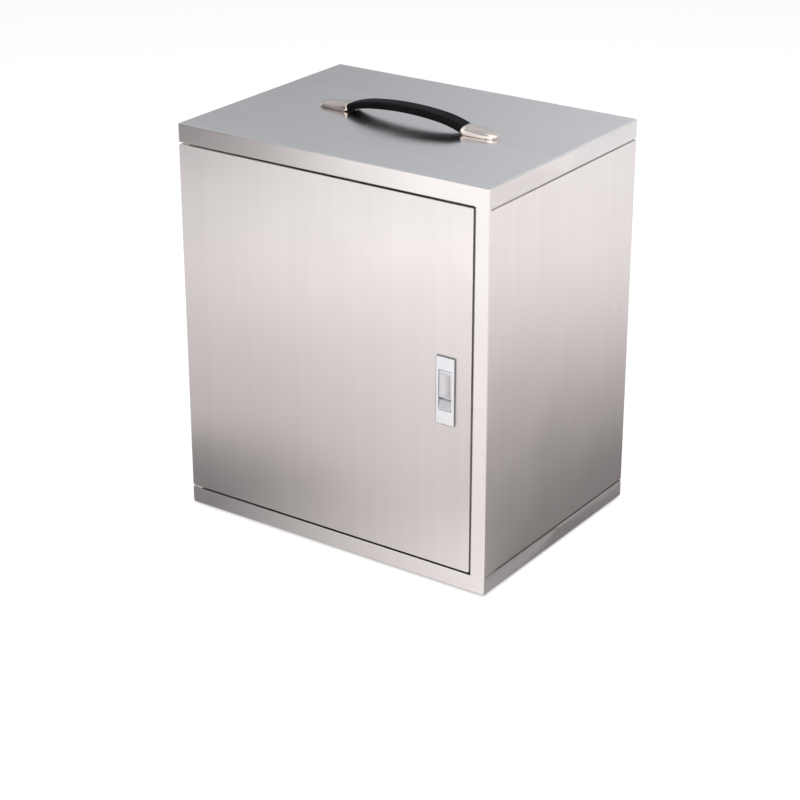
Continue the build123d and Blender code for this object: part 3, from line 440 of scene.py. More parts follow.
class FOODBOX_OT_dress_inside(bpy.types.Operator):
    """Gives the liner, the rack, the foam and the hidden metal their finishes"""

    bl_idname = "foodbox.dress_inside"
    bl_label = "Dress the inside"

    def execute(self, context):
        finish = context.scene.food_box_finish
        liner = brushed_finish("satin_liner_sheet", "Z", darker(finish.steel_light, 0.95),
                               darker(finish.steel_dark, 0.95), roughness=0.4,
                               depth=finish.grain_depth / 2, spread=0.3, drawn=0.05)
        plated = moulded_finish("zinc_plated_steel", (0.62, 0.62, 0.60), (0.50, 0.50, 0.47),
                                roughness=0.35, depth=0.00002, metallic=1.0)
        spring = moulded_finish("oiled_spring_wire", (0.42, 0.41, 0.40), (0.30, 0.29, 0.28),
                                roughness=0.3, metallic=1.0)
        nylon = moulded_finish("white_nylon", (0.80, 0.79, 0.75), (0.72, 0.71, 0.66),
                               roughness=0.4, depth=0.00002)
        foam = moulded_finish("rigid_foam", (0.82, 0.74, 0.50), (0.72, 0.62, 0.38),
                              roughness=0.85, depth=0.0004, grain_scale=700.0)
        dress(["liner_wrap", "liner_top", "liner_bottom", "door_liner"], liner)
        dress(["pivot_plates", "pivot_pins", "pivot_blocks", "strike_plate", "strike_screws", "latch_clamp",
               "latch_clamp_screws", "latch_pin", "bolt_guide", "handle_strap", "handle_plates",
               "handle_screws", "rack_left", "rack_right"], plated)
        dress(["button_spring", "bolt_spring"], spring)
        dress(["pivot_bushes"], nylon)
        dress(["insulation_left", "insulation_right", "insulation_back", "insulation_top",
               "insulation_bottom", "door_insulation"], foam)
        return {"FINISHED"}


# Geometry trees: pieces that repeat, or that follow a path

def shape_tree(name, sizes):
    """A geometry tree with named sizes in metres and a finish. Gives the tree, its inputs and its output."""
    takes = [("Geometry", "NodeSocketGeometry", None), ("Finish", "NodeSocketMaterial", None)]
    takes += [(label, "NodeSocketFloat", value) for label, value in sizes.items()]
    return new_group(name, "GeometryNodeTree", takes, [("Geometry", "NodeSocketGeometry")])


def joined(tree, shapes):
    join = put(tree, "GeometryNodeJoinGeometry")
    for shape in shapes:
        tree.links.new(shape, join.inputs[0])
    return join.outputs[0]


def moved(tree, shape, **move):
    return first_of(tree, "GeometryNodeTransform", {"Geometry": shape, **move})


def end_tree(tree, given, result, shape, **turn):
    """Puts the shape on every point, makes the instances real and sets the finish."""
    placed = first_of(tree, "GeometryNodeInstanceOnPoints",
                      {"Points": given["Geometry"], "Instance": shape, **turn})
    real = first_of(tree, "GeometryNodeRealizeInstances", {0: placed})
    painted = first_of(tree, "GeometryNodeSetMaterial", {"Geometry": real, "Material": given["Finish"]})
    tree.links.new(painted, result["Geometry"])
    return tree


def grow(name, tree, finish, sizes, points, facings=None):
    """Runs a geometry tree on a few points and keeps the result as a plain mesh in the scene."""
    seed = bpy.data.meshes.new(name + "_points")
    seed.from_pydata(points, [], [])
    if facings:
        seed.attributes.new("facing", "FLOAT_VECTOR", "POINT").data.foreach_set(
            "vector", [value for facing in facings for value in facing])
    holder = put_in_scene(name + "_points", seed)
    modifier = holder.modifiers.new("shape", "NODES")
    modifier.node_group = tree
    values = {"Finish": finish, **sizes}
    for item in tree.interface.items_tree:
        if item.in_out == "INPUT" and item.name in values:
            modifier[item.identifier] = values[item.name]
    graph = bpy.context.evaluated_depsgraph_get()
    mesh = bpy.data.meshes.new_from_object(holder.evaluated_get(graph), depsgraph=graph)
    mesh.name = name
    bpy.data.objects.remove(holder)
    bpy.data.meshes.remove(seed)
    return new_piece(name, mesh)


def vector_of(tree, x=0.0, y=0.0, z=0.0):
    return first_of(tree, "ShaderNodeCombineXYZ", {0: x, 1: y, 2: z})


def place_of_point(tree):
    """The three outputs x, y and z of each point's place."""
    return put(tree, "ShaderNodeSeparateXYZ", {0: first_of(tree, "GeometryNodeInputPosition")}).outputs


def reshaped_ball(tree, segments, rings, reshape):
    """A unit ball whose points move to where reshape puts them, given their x, y and z."""
    ball = first_of(tree, "GeometryNodeMeshUVSphere", {"Segments": segments, "Rings": rings, "Radius": 1.0})
    return first_of(tree, "GeometryNodeSetPosition",
                    {"Geometry": ball, "Position": reshape(*place_of_point(tree))})


def screw_tree():
    """Pan-head screws with a cross recess, one on each point, turned to the point's facing."""
    tree, given, result = shape_tree("pan_head_screws", {
        "Head Radius": 0.0025, "Head Height": 0.0012, "Recess Length": 0.003, "Recess Width": 0.0006,
        "Recess Depth": 0.0008, "Shank Radius": 0.0012, "Shank Length": 0.001})
    pan_exponent, seat_share = 0.45, 0.1

    def pan(x, y, z):
        dome = math_node(tree, "POWER", math_node(tree, "MAXIMUM", z, 0.0), pan_exponent)
        seat = product(tree, math_node(tree, "MINIMUM", z, 0.0), seat_share)
        raised = math_node(tree, "ADD", dome, seat)
        return vector_of(tree, product(tree, x, given["Head Radius"]), product(tree, y, given["Head Radius"]),
                         product(tree, raised, given["Head Height"]))

    head = reshaped_ball(tree, segments=32, rings=16, reshape=pan)
    cut = put(tree, "GeometryNodeMeshBoolean", {"Mesh 1": head}, operation="DIFFERENCE", solver="EXACT")
    length, width = given["Recess Length"], given["Recess Width"]
    depth = product(tree, given["Recess Depth"], 2.0)
    for x, y in ((length, width), (width, length)):
        bar = first_of(tree, "GeometryNodeMeshCube", {"Size": vector_of(tree, x, y, depth)})
        slot = moved(tree, bar, Translation=vector_of(tree, z=given["Head Height"]))
        tree.links.new(slot, cut.inputs["Mesh 2"])
    shank = first_of(tree, "GeometryNodeMeshCylinder",
                     {"Vertices": 20, "Radius": given["Shank Radius"], "Depth": given["Shank Length"]})
    sunk = moved(tree, shank, Translation=vector_of(tree, z=product(tree, given["Shank Length"], -0.5)))
    facing = first_of(tree, "GeometryNodeInputNamedAttribute", {"Name": "facing"}, data_type="FLOAT_VECTOR")
    turned = first_of(tree, "FunctionNodeAlignRotationToVector", {"Vector": facing}, axis="Z")
    return end_tree(tree, given, result, joined(tree, [cut.outputs[0], sunk]), Rotation=turned)


def foot_tree():
    """Round rubber feet, one on each point: a pad with rings moulded in its sole, and its stem."""
    tree, given, result = shape_tree("rubber_feet", {
        "Radius": 0.012, "Height": 0.003, "Ring Depth": 0.0006, "Rings": 3.0, "Stem Radius": 0.004,
        "Stem Length": 0.005})
    edge_exponent, sole_level = 0.22, -0.5

    def pad(x, y, z):
        flat_place = vector_of(tree, x, y)
        out = put(tree, "ShaderNodeVectorMath", {0: flat_place}, operation="LENGTH").outputs["Value"]
        flat = math_node(tree, "POWER", math_node(tree, "ABSOLUTE", z), edge_exponent)
        level = math_node(tree, "MULTIPLY_ADD", product(tree, math_node(tree, "SIGN", z), flat), 0.5, 0.5)
        wave = math_node(tree, "SINE", product(tree, out, given["Rings"], 2 * math.pi))
        under = math_node(tree, "LESS_THAN", z, sole_level)
        groove = product(tree, math_node(tree, "MAXIMUM", wave, 0.0),
                         product(tree, under, given["Ring Depth"]))
        height = product(tree, level, given["Height"])
        return vector_of(tree, product(tree, x, given["Radius"]), product(tree, y, given["Radius"]),
                         math_node(tree, "ADD", height, groove))

    sole = reshaped_ball(tree, segments=48, rings=48, reshape=pad)
    stem = first_of(tree, "GeometryNodeMeshCylinder",
                    {"Vertices": 24, "Radius": given["Stem Radius"], "Depth": given["Stem Length"]})
    middle = math_node(tree, "MULTIPLY_ADD", given["Stem Length"], 0.5, given["Height"])
    raised = moved(tree, stem, Translation=vector_of(tree, z=middle))
    return end_tree(tree, given, result, joined(tree, [sole, raised]))


def wire(tree, start, end, radius, sides):
    """A straight round wire with closed ends."""
    line = first_of(tree, "GeometryNodeCurvePrimitiveLine", {"Start": start, "End": end})
    circle = first_of(tree, "GeometryNodeCurvePrimitiveCircle", {"Resolution": sides, "Radius": radius})
    return first_of(tree, "GeometryNodeCurveToMesh",
                    {"Curve": line, "Profile Curve": circle, "Fill Caps": True})


def rounded_loop(tree, width, height, radius, steps, section):
    """A band of the given section that runs round a rounded rectangle, flat in X and Y."""
    loop = first_of(tree, "GeometryNodeCurvePrimitiveQuadrilateral", {"Width": width, "Height": height})
    path = first_of(tree, "GeometryNodeFilletCurve",
                    {"Curve": loop, "Radius": radius, "Count": steps, "Limit Radius": True}, mode="POLY")
    return first_of(tree, "GeometryNodeCurveToMesh", {"Curve": path, "Profile Curve": section})


def shelf_tree():
    """A wire shelf: a bent round frame, two stays, a row of cross wires and a weld at each crossing."""
    tree, given, result = shape_tree("wire_shelf", {
        "Width": 0.36, "Depth": 0.24, "Corner": 0.01, "Frame Wire": 0.005, "Cross Wire": 0.003,
        "Pitch": 0.025, "Weld": 0.0022, "Sink": 0.00075})
    stay_share = 0.5

    def half(value):
        return product(tree, value, 0.5)

    frame_wire, cross_wire = half(given["Frame Wire"]), half(given["Cross Wire"])
    half_width, half_depth = half(given["Width"]), half(given["Depth"])
    circle = first_of(tree, "GeometryNodeCurvePrimitiveCircle", {"Resolution": 16, "Radius": frame_wire})
    loop = rounded_loop(tree, given["Width"], given["Depth"], given["Corner"], steps=6, section=circle)
    stays = []
    for share in (-stay_share, stay_share):
        y = product(tree, half_depth, share)
        stays.append(wire(tree, vector_of(tree, product(tree, half_width, -1.0), y),
                          vector_of(tree, half_width, y), frame_wire, sides=16))
    rise = math_node(tree, "SUBTRACT", math_node(tree, "ADD", frame_wire, cross_wire), given["Sink"])
    welded = [wire(tree, vector_of(tree, y=product(tree, half_depth, -1.0), z=rise),
                   vector_of(tree, y=half_depth, z=rise), cross_wire, sides=12)]
    bead = first_of(tree, "GeometryNodeMeshIcoSphere", {"Radius": 1.0, "Subdivisions": 2})
    flat_bead = vector_of(tree, given["Weld"], given["Weld"], half(given["Weld"]))
    for share in (-1.0, -stay_share, stay_share, 1.0):
        place = vector_of(tree, y=product(tree, half_depth, share), z=frame_wire)
        welded.append(moved(tree, bead, Scale=flat_bead, Translation=place))
    count = math_node(tree, "FLOOR", math_node(tree, "DIVIDE", given["Width"], given["Pitch"]))
    span = product(tree, math_node(tree, "SUBTRACT", count, 1.0), given["Pitch"])
    row = first_of(tree, "GeometryNodeMeshLine",
                   {"Count": count, "Start Location": vector_of(tree, product(tree, span, -0.5)),
                    "Offset": vector_of(tree, given["Pitch"])}, mode="OFFSET")
    wires = first_of(tree, "GeometryNodeInstanceOnPoints",
                     {"Points": row, "Instance": joined(tree, welded)})
    return end_tree(tree, given, result, joined(tree, [loop, *stays, wires]))


def seal_tree():
    """The door seal: a ribbed rubber section that runs round a rounded rectangle."""
    tree, given, result = shape_tree("door_seal", {
        "Width": 0.388, "Height": 0.435, "Corner": 0.007, "Section Width": 0.009,
        "Section Thickness": 0.0027, "Rib Depth": 0.0005, "Ribs": 3.0})
    crown_exponent = 0.55
    outline = first_of(tree, "GeometryNodeCurvePrimitiveCircle", {"Resolution": 60, "Radius": 1.0})
    x, y, _ = place_of_point(tree)
    across = product(tree, x, product(tree, given["Section Width"], 0.5))
    upper = math_node(tree, "POWER", math_node(tree, "MAXIMUM", y, 0.0), crown_exponent)
    wave = math_node(tree, "COSINE", product(tree, x, given["Ribs"], math.pi))
    rib = product(tree, math_node(tree, "SUBTRACT", 1.0, wave), given["Rib Depth"], upper)
    lift = math_node(tree, "SUBTRACT", product(tree, upper, given["Section Thickness"]), rib)
    section = first_of(tree, "GeometryNodeSetPosition",
                       {"Geometry": outline, "Position": vector_of(tree, across, lift)})
    band = rounded_loop(tree, given["Width"], given["Height"], given["Corner"], steps=8, section=section)
    return end_tree(tree, given, result, moved(tree, band, Rotation=(math.pi / 2, 0, 0)))


def solid_boxes(node):
    """(lowest corner, highest corner) of each solid of a CAD node, read from a merged copy of its mesh."""
    copy = bmesh.new()
    copy.from_mesh(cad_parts[node].data)
    bmesh.ops.remove_doubles(copy, verts=copy.verts, dist=SAME_POINT)
    left = set(copy.verts)
    boxes = []
    while left:
        front = [left.pop()]
        solid = []
        while front:
            point = front.pop()
            solid.append(point.co.copy())
            for edge in point.link_edges:
                other = edge.other_vert(point)
                if other in left:
                    left.remove(other)
                    front.append(other)
        boxes.append((Vector(map(min, zip(*solid))), Vector(map(max, zip(*solid)))))
    copy.free()
    return boxes


# Pieces built in mesh code

def new_piece(name, mesh, finish=None):
    """Puts a finished mesh in the scene, shaded smooth where it is round."""
    if not mesh.polygons:
        raise RuntimeError(name + " has no faces")
    piece = put_in_scene(name, mesh)
    if finish:
        mesh.materials.append(finish)
    mesh.shade_smooth()
    mesh.set_sharp_from_angle(angle=SHARP_ANGLE)
    return piece


def skin(rings, name, closed_path=False):
    """A closed mesh over rings of points. On a closed path the last ring joins the first. Otherwise the
    first and the last ring each get a face."""
    shape = bmesh.new()
    rows = [[shape.verts.new(point) for point in ring] for ring in rings]
    count = len(rows[0])
    for row, following in zip(rows, rows[1:] + rows[:1] if closed_path else rows[1:]):
        for i in range(count):
            shape.faces.new((row[i], row[(i + 1) % count], following[(i + 1) % count], following[i]))
    if not closed_path:
        shape.faces.new(rows[0])
        shape.faces.new(rows[-1])
    bmesh.ops.remove_doubles(shape, verts=shape.verts, dist=SAME_POINT)
    bmesh.ops.recalc_face_normals(shape, faces=shape.faces)
    mesh = bpy.data.meshes.new(name)
    shape.to_mesh(mesh)
    shape.free()
    return mesh


def power(value, exponent):
    """Keeps the sign of the value."""
    return math.copysign(abs(value) ** exponent, value)


def between(start, end, share):
    return start + (end - start) * share


def handle_end_rings(sign):
    """Rings of a handle end, from its rounded rim at the grip's joint to the tip on the lid."""
    shape = bpy.context.scene.food_box_handle
    grip_low, grip_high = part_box("handle_grip")
    rise = shape.grip_thick / 2 * math.cos(shape.slope)
    joint_x = grip_high.x - shape.grip_thick / 2 * math.sin(shape.slope)
    joint_z = grip_low.z + rise - lid_top
    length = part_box("handle_end_right")[1].x - joint_x
    rim_share = shape.rim / length
    rim_rings, body_rings, points = 5, 40, 44
    stations = [rim_share * (1 - math.cos(math.pi / 2 * i / rim_rings)) for i in range(rim_rings)]
    stations += [between(rim_share, 1, math.sin(math.pi / 2 * i / body_rings)) for i in range(body_rings + 1)]

    # Shares of the length after which the section is upright and domed, lies on the lid, and has its foot
    dome_share, heel_share, foot_share = 0.3, 0.12, 0.1
    # Exponents of the section's height and width, at the joint and beyond: 1 is round and 0 is square
    dome_height, dome_width = (0.8, 0.9), (0.6, 0.8)
    foot_height, foot_width = (0.62, 0.16), (0.6, 0.35)
    widest_level = (0.5, 0.2)
    # How sharply the top rounds down at the tip, and the squares of the shares of height and width left there
    tip_exponent, least_height, least_width = 16, 0.04, 0.0003

    rings = []
    for along in stations:
        lean = math.tan(shape.slope) * max(0.0, 1 - along / dome_share)
        swell = shape.collar * (1 - max(0.0, 1 - along / rim_share) ** 2) ** 0.5
        low = (joint_z - rise) * max(0.0, 1 - along / heel_share)
        top = shape.tip_height + (joint_z + rise - shape.tip_height) * (1 - along) ** shape.droop
        top = (top + swell) * max(least_height, 1 - along ** tip_exponent) ** 0.5
        half_width = (grip_high.y - grip_low.y) / 2 + swell
        half_width *= max(least_width, 1 - along ** shape.nose) ** 0.5
        dome, foot = min(1.0, along / dome_share), min(1.0, along / foot_share)
        widest = between(low, top, between(*widest_level, foot))
        ring = []
        for j in range(points):
            turn = 2 * math.pi * j / points
            if math.sin(turn) > 0:
                reach, height, width = top - widest, between(*dome_height, dome), between(*dome_width, dome)
            else:
                reach, height, width = widest - low, between(*foot_height, foot), between(*foot_width, foot)
            z = widest + reach * power(math.sin(turn), height)
            y = half_width * power(math.cos(turn), width)
            ring.append((sign * (joint_x + along * length + (z - joint_z) * lean), y, lid_top + z))
        rings.append(ring)
    return rings


def rounded_outline(low, high, radius, steps=6):
    """Corner points (x, z) of a rounded rectangle, counter-clockwise."""
    outline = []
    corners = ((high[0], high[1]), (low[0], high[1]), (low[0], low[1]), (high[0], low[1]))
    for quarter, (x, z) in enumerate(corners):
        centre_x = x - math.copysign(radius, x - (low[0] + high[0]) / 2)
        centre_z = z - math.copysign(radius, z - (low[1] + high[1]) / 2)
        for i in range(steps + 1):
            turn = math.pi / 2 * (quarter + i / steps)
            outline.append((centre_x + radius * math.cos(turn), centre_z + radius * math.sin(turn)))
    return outline


class FOODBOX_OT_dress_handle(bpy.types.Operator):
    """Builds the plated handle ends and gives the grip its finish"""

    bl_idname = "foodbox.dress_handle"
    bl_label = "Build the carrying handle"

    def execute(self, context):
        finish = context.scene.food_box_finish
        grip = moulded_finish("black_moulded_grip", finish.grip_colour, darker(finish.grip_colour, 0.6),
                              roughness=0.5, depth=0.00002, specular=0.08)
        nickel = moulded_finish("satin_nickel", finish.nickel_colour, darker(finish.nickel_colour, 0.9),
                                roughness=0.25, metallic=1.0)
        dress(["handle_grip"], grip)
        for name, sign in (("handle_end_left", -1), ("handle_end_right", 1)):
            end = new_piece("plated_" + name, skin(handle_end_rings(sign), name), nickel)
            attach(end, "cabinet")
            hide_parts(name)
        return {"FINISHED"}


class FOODBOX_OT_dress_latch(bpy.types.Operator):
    """Gives the latch plate, paddle, button and bolt their satin finish"""

    bl_idname = "foodbox.dress_latch"
    bl_label = "Dress the latch"

    def execute(self, context):
        alloy = context.scene.food_box_finish.alloy_colour
        plate = moulded_finish("satin_latch_plate", alloy, darker(alloy, 0.94),
                               roughness=0.35, metallic=0.7)
        # The paddle takes the plate's alloy colour made darker: painted shade for the dimmer light on its
        # face.
        paddle = moulded_finish("satin_latch_paddle_painted_shade", darker(alloy, 0.82), darker(alloy, 0.73),
                                roughness=0.36, metallic=1.0)
        # The button is a grey moulding, darker than the alloy round it: partly its own colour and partly
        # painted shade for the dimmer light on its sloping face.
        button = moulded_finish("grey_latch_button_painted_shade", (0.58, 0.575, 0.60), (0.50, 0.495, 0.52),
                                roughness=0.4)
        # The dark ring round the plate is partly a real gasket and partly painted shade: its grey lip and
        # dark flank stand in for the shadow line along the plate's edge.
        rubber = moulded_finish("latch_ring_rubber_painted_shade", (0.20, 0.19, 0.195), (0.16, 0.155, 0.16),
                                roughness=0.6, depth=0.00002)
        dress(["latch_frame", "latch_bolt"], plate)
        dress(["latch_paddle"], paddle)
        dress(["latch_button"], button)

        ring = context.scene.food_box_latch
        low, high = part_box("latch_frame")
        door_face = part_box("door_skin")[0].y
        inner, outer = ring.seal_overlap, -ring.seal_lip
        rows = []
        for inset, rise in ((inner, 0.0), (outer, 0.0), (outer, ring.seal_lip_height),
                            (0.0, ring.seal_height), (inner, ring.seal_height)):
            outline = rounded_outline((low.x + inset, low.z + inset), (high.x - inset, high.z - inset),
                                      max(ring.seal_inner_corner, ring.seal_corner - inset))
            rows.append([(x, door_face - rise, z) for x, z in outline])
        seal = new_piece("latch_plate_ring_painted_shade", skin(rows, "latch_plate_ring_painted_shade", closed_path=True), rubber)
        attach(seal, "door")
        return {"FINISHED"}


class FOODBOX_OT_build_screws(bpy.types.Operator):
    """Builds the screws of the door liner and of the shelf rack"""

    bl_idname = "foodbox.build_screws"
    bl_label = "Build the screws"

    def execute(self, context):
        head = context.scene.food_box_screws
        steel = moulded_finish("bright_screw_steel", (0.66, 0.65, 0.64), (0.56, 0.55, 0.54),
                               roughness=0.28, metallic=1.0)
        tree = screw_tree()
        for node, body in (("door_screws", "door"), ("rack_screws", "cabinet")):
            points, facings = [], []
            for low, high in solid_boxes(node):
                middle = (low + high) / 2
                radius = (high.z - low.z) / 2
                if node == "door_screws":
                    height = high.y - low.y
                    points.append((middle.x, low.y, middle.z))
                    facings.append((0, 1, 0))
                else:
                    height = head.rack_head_height
                    inner = low.x if middle.x > 0 else high.x
                    outward = math.copysign(1, middle.x)
                    points.append((inner + outward * height, middle.y, middle.z))
                    facings.append((-outward, 0, 0))
            sizes = {"Head Radius": radius, "Head Height": height,
                     "Recess Length": head.recess_share * 2 * radius,
                     "Recess Width": head.recess_width_share * 2 * radius,
                     "Recess Depth": head.recess_depth_share * height,
                     "Shank Radius": radius / 2, "Shank Length": head.shank_length}
            piece = grow("cross_head_" + node, tree, steel, sizes, points, facings)
            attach(piece, body)
            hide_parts(node)
        return {"FINISHED"}


class FOODBOX_OT_build_shelves(bpy.types.Operator):
    """Builds the welded wire shelves"""

    bl_idname = "foodbox.build_shelves"
    bl_label = "Build the wire shelves"

    def execute(self, context):
        shelf = context.scene.food_box_shelves
        bright = moulded_finish("bright_plated_wire", (0.74, 0.74, 0.73), (0.66, 0.66, 0.65),
                                roughness=0.2, metallic=1.0)
        tree = shelf_tree()
        for number in (1, 2, 3):
            node = f"wire_shelf_{number}"
            low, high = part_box(node)
            sizes = {"Width": high.x - low.x - shelf.frame_wire, "Depth": high.y - low.y - shelf.frame_wire,
                     "Corner": shelf.corner, "Frame Wire": shelf.frame_wire, "Cross Wire": shelf.cross_wire,
                     "Pitch": shelf.pitch, "Weld": shelf.weld}
            middle = ((low.x + high.x) / 2, (low.y + high.y) / 2, low.z + shelf.frame_wire / 2)
            piece = grow("welded_" + node, tree, bright, sizes, [middle])
            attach(piece, "cabinet")
            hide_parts(node)
        return {"FINISHED"}


class FOODBOX_OT_build_seal(bpy.types.Operator):
    """Builds the ribbed rubber seal on the door's inner face"""

    bl_idname = "foodbox.build_seal"
    bl_label = "Build the door seal"

    def execute(self, context):
        seal = context.scene.food_box_seal
        rubber = moulded_finish("grey_seal_rubber", (0.24, 0.24, 0.245), (0.19, 0.19, 0.195),
                                roughness=0.55, depth=0.00003)
        low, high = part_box("door_gasket")
        sizes = {"Width": high.x - low.x - seal.section_width, "Height": high.z - low.z - seal.section_width,
                 "Corner": seal.corner, "Section Width": seal.section_width,
                 "Section Thickness": high.y - low.y, "Rib Depth": seal.rib_depth}
        middle = ((low.x + high.x) / 2, low.y, (low.z + high.z) / 2)
        piece = grow("ribbed_door_seal", seal_tree(), rubber, sizes, [middle])
        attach(piece, "door")
        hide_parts("door_gasket")
        return {"FINISHED"}


class FOODBOX_OT_build_feet(bpy.types.Operator):
    """Builds the rubber feet"""

    bl_idname = "foodbox.build_feet"
    bl_label = "Build the feet"

    def execute(self, context):
        feet = moulded_finish("black_foot_rubber", (0.025, 0.025, 0.026), (0.016, 0.016, 0.017),
                              roughness=0.6, depth=0.00005)
        boxes = solid_boxes("foot_pads")
        points = [((low.x + high.x) / 2, (low.y + high.y) / 2, 0) for low, high in boxes]
        low, high = boxes[0]
        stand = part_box("base_tray")[0].z
        sizes = {"Radius": (high.x - low.x) / 2, "Height": stand, "Stem Length": high.z - stand}
        piece = grow("ringed_feet", foot_tree(), feet, sizes, points)
        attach(piece, "cabinet")
        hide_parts("foot_pads")
        return {"FINISHED"}


# Studio

def soft_lamp(name, place, aim, side, power):
    data = bpy.data.lights.new(name, "AREA")
    data.size = side
    data.energy = power
    lamp = put_in_scene(name, data)
    lamp.location = place
    lamp.rotation_euler = (Vector(aim) - Vector(place)).to_track_quat("-Z", "Y").to_euler()


def stage_sheet(name, corners):
    """A flat sheet of the stage. Gives the object, and the tree of its new material."""
    mesh = bpy.data.meshes.new(name)
    mesh.from_pydata(corners, [], [tuple(range(len(corners)))])
    sheet = put_in_scene(name, mesh)
    material = bpy.data.materials.new(name)
    material.use_nodes = True
    mesh.materials.append(material)
    return sheet, material.node_tree


def glow_card(name, corners, strength, colour=(1, 1, 1), middle=(0, 0, 0), near=0.0, far=1.0, rise=0.0):
    """A card that only mirrors see. Its glow rises with the distance from its middle, from near to far."""
    card, tree = stage_sheet(name, corners)
    for ray in ("camera", "diffuse", "transmission", "volume_scatter", "shadow"):
        setattr(card, "visible_" + ray, False)
    tree.nodes.clear()
    place = put(tree, "ShaderNodeTexCoord").outputs["Object"]
    away = put(tree, "ShaderNodeVectorMath", {0: place, 1: middle}, operation="DISTANCE").outputs["Value"]
    glow = ramp(tree, away, near, far, strength, strength + rise)
    shader = first_of(tree, "ShaderNodeEmission", {"Color": (*colour, 1), "Strength": glow})
    put(tree, "ShaderNodeOutputMaterial", {0: shader})


def level_card(low, high, height):
    """Corners of a level rectangle from one corner (x, y) to the opposite one."""
    return [(low[0], low[1], height), (high[0], low[1], height), (high[0], high[1], height),
            (low[0], high[1], height)]


def upright_card(start, end, height):
    """Corners of an upright rectangle that stands on the line from start to end."""
    return [(*start, 0), (*end, 0), (*end, height), (*start, height)]


def seen_rays(tree):
    """1 for rays that come from the camera or by way of a mirror or glass, otherwise 0."""
    path = put(tree, "ShaderNodeLightPath").outputs
    first = math_node(tree, "MAXIMUM", path["Is Camera Ray"], path["Is Glossy Ray"])
    return math_node(tree, "MAXIMUM", first, path["Is Transmission Ray"])


def light_room(stage):
    """White all round for the camera and for mirrors, and even light of the set strength for the rest."""
    world = bpy.data.worlds.new("pale_room")
    bpy.context.scene.world = world
    world.use_nodes = True
    tree = world.node_tree
    tree.nodes.clear()
    strength = ramp(tree, seen_rays(tree), 0.0, 1.0, low=stage.room_light)
    light = first_of(tree, "ShaderNodeBackground", {"Color": (1, 1, 1, 1), "Strength": strength})
    put(tree, "ShaderNodeOutputWorld", {0: light})


def lay_floor(stage):
    """A pale matt floor that is lifted to near white where the camera or a mirror sees it."""
    tree = stage_sheet("floor", level_card((-12, -12), (12, 12), height=0))[1]
    shader = tree.nodes["Principled BSDF"].inputs
    shader["Base Color"].default_value = (0.86, 0.86, 0.86, 1)
    shader["Roughness"].default_value = 0.9
    shader["Specular IOR Level"].default_value = 0.1
    shader["Emission Color"].default_value = (1, 1, 1, 1)
    tree.links.new(product(tree, seen_rays(tree), stage.floor_glow), shader["Emission Strength"])


def hang_cards():
    """The cards whose mirror images shade the brushed sheets softly from edge to edge."""
    glow_card("ceiling_card", level_card((-8, -8), (8, 8), height=2.8), strength=0.6,
              colour=(0.93, 0.96, 1.0))
    glow_card("floor_card", level_card((-1.3, -1.3), (1.3, 1.3), height=0.001), strength=0.25,
              colour=(1.0, 0.95, 0.95), middle=(0.1, 0.12, 0), near=0.25, far=1.1, rise=0.9)
    glow_card("corner_card", level_card((-0.4, -0.36), (0.5, -0.166), height=0.002), strength=0.23,
              colour=(1.0, 0.96, 0.96), middle=(-0.3, -0.2, 0), near=0.1, far=0.55, rise=0.88)
    glow_card("near_card", level_card((-1.0, -1.25), (0.1, -0.36), height=0.002), strength=0.43,
              colour=(1.0, 0.95, 0.95), middle=(-0.7, -0.1, 0), near=0.4, far=1.0, rise=0.75)
    glow_card("front_card", upright_card((-0.6, -1.0), (-0.1, -1.0), height=1.3), strength=1.55)
    glow_card("left_card", upright_card((-0.95, -1.7), (-0.95, -0.3), height=1.2), strength=0.15)
    glow_card("back_card", upright_card((-1.8, 0.9), (0.5, 0.9), height=1.5), strength=0.45,
              colour=(0.91, 0.95, 1.0), middle=(-1.13, 0.9, 0.11), near=0.7, far=1.3, rise=0.34)


def place_camera(stage):
    """The photograph's viewing angle, as turns round the point that the camera looks at."""
    data = bpy.data.cameras.new("photo_camera")
    data.sensor_width = 36
    data.lens = stage.lens
    camera = put_in_scene("photo_camera", data)
    back = Vector((math.sin(stage.azimuth) * math.cos(stage.elevation),
                   -math.cos(stage.azimuth) * math.cos(stage.elevation), math.sin(stage.elevation)))
    camera.location = Vector(stage.aim) + back * stage.distance
    camera.rotation_euler = (-back).to_track_quat("-Z", "Y").to_euler()
    bpy.context.scene.camera = camera


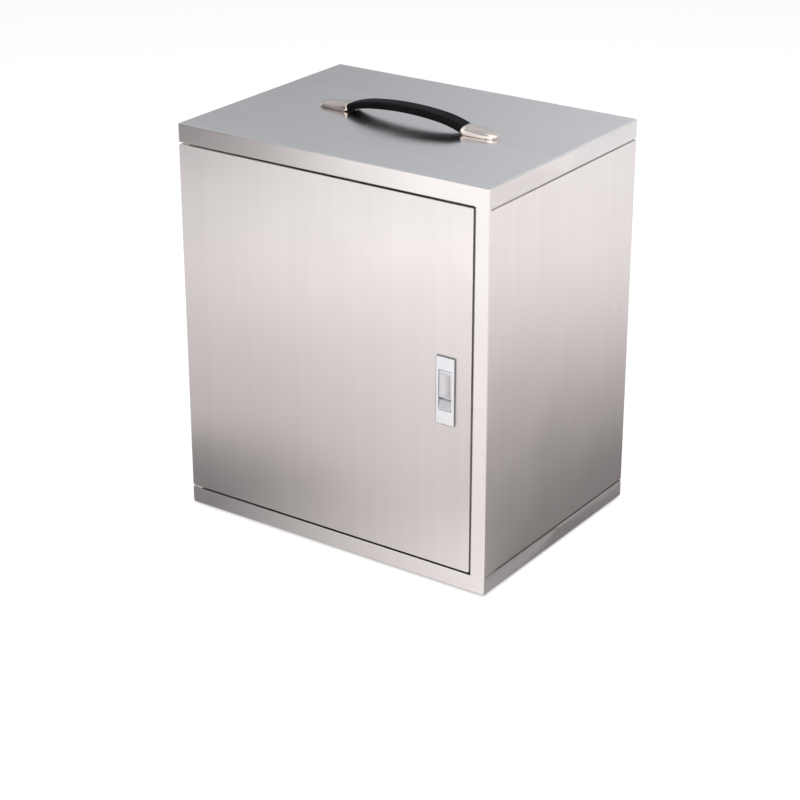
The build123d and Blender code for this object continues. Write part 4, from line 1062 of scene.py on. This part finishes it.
class FOODBOX_OT_build_stage(bpy.types.Operator):
    """Makes the floor, the soft lamps, the room light and the camera"""

    bl_idname = "foodbox.build_stage"
    bl_label = "Build the stage"

    def execute(self, context):
        stage = context.scene.food_box_stage
        context.scene.view_settings.view_transform = "Standard"
        light_room(stage)
        lay_floor(stage)
        hang_cards()
        soft_lamp("key_softbox", place=(0.7, -2.1, 2.1), aim=(0, 0, 0.25), side=1.8, power=30)
        soft_lamp("top_softbox", place=(0.6, 0.3, 2.4), aim=(0, 0, 0.3), side=2.0, power=14)
        place_camera(stage)
        return {"FINISHED"}


class FOODBOX_PT_pieces(bpy.types.Panel):
    """Lists the pieces of the food box in the order in which they are made"""

    bl_idname = "FOODBOX_PT_pieces"
    bl_label = "Food box"
    bl_space_type = "VIEW_3D"
    bl_region_type = "UI"
    bl_category = "Food box"

    def draw(self, context):
        for operator in operators:
            self.layout.operator(operator.bl_idname)
        for group_name, group in setting_groups.items():
            box = self.layout.box()
            for name in group.__annotations__:
                box.prop(getattr(context.scene, group_name), name)


operators = (
    FOODBOX_OT_dress_panels,
    FOODBOX_OT_dress_inside,
    FOODBOX_OT_dress_handle,
    FOODBOX_OT_dress_latch,
    FOODBOX_OT_build_seal,
    FOODBOX_OT_build_screws,
    FOODBOX_OT_build_shelves,
    FOODBOX_OT_build_feet,
    FOODBOX_OT_build_stage,
)
setting_groups = {
    "food_box_finish": FinishSettings,
    "food_box_handle": HandleSettings,
    "food_box_latch": LatchSettings,
    "food_box_screws": ScrewSettings,
    "food_box_shelves": ShelfSettings,
    "food_box_seal": SealSettings,
    "food_box_stage": StageSettings,
}
classes = (*setting_groups.values(), *operators, FOODBOX_PT_pieces)


def register():
    for cls in classes:
        bpy.utils.register_class(cls)
    for name, group in setting_groups.items():
        setattr(bpy.types.Scene, name, bpy.props.PointerProperty(type=group))


def unregister():
    for name in setting_groups:
        delattr(bpy.types.Scene, name)
    for cls in reversed(classes):
        bpy.utils.unregister_class(cls)


def main():
    register()
    bpy.ops.foodbox.dress_panels()
    bpy.ops.foodbox.dress_inside()
    bpy.ops.foodbox.dress_handle()
    bpy.ops.foodbox.dress_latch()
    bpy.ops.foodbox.build_seal()
    bpy.ops.foodbox.build_screws()
    bpy.ops.foodbox.build_shelves()
    bpy.ops.foodbox.build_feet()
    bpy.ops.foodbox.build_stage()


if __name__ == "__main__":
    main()
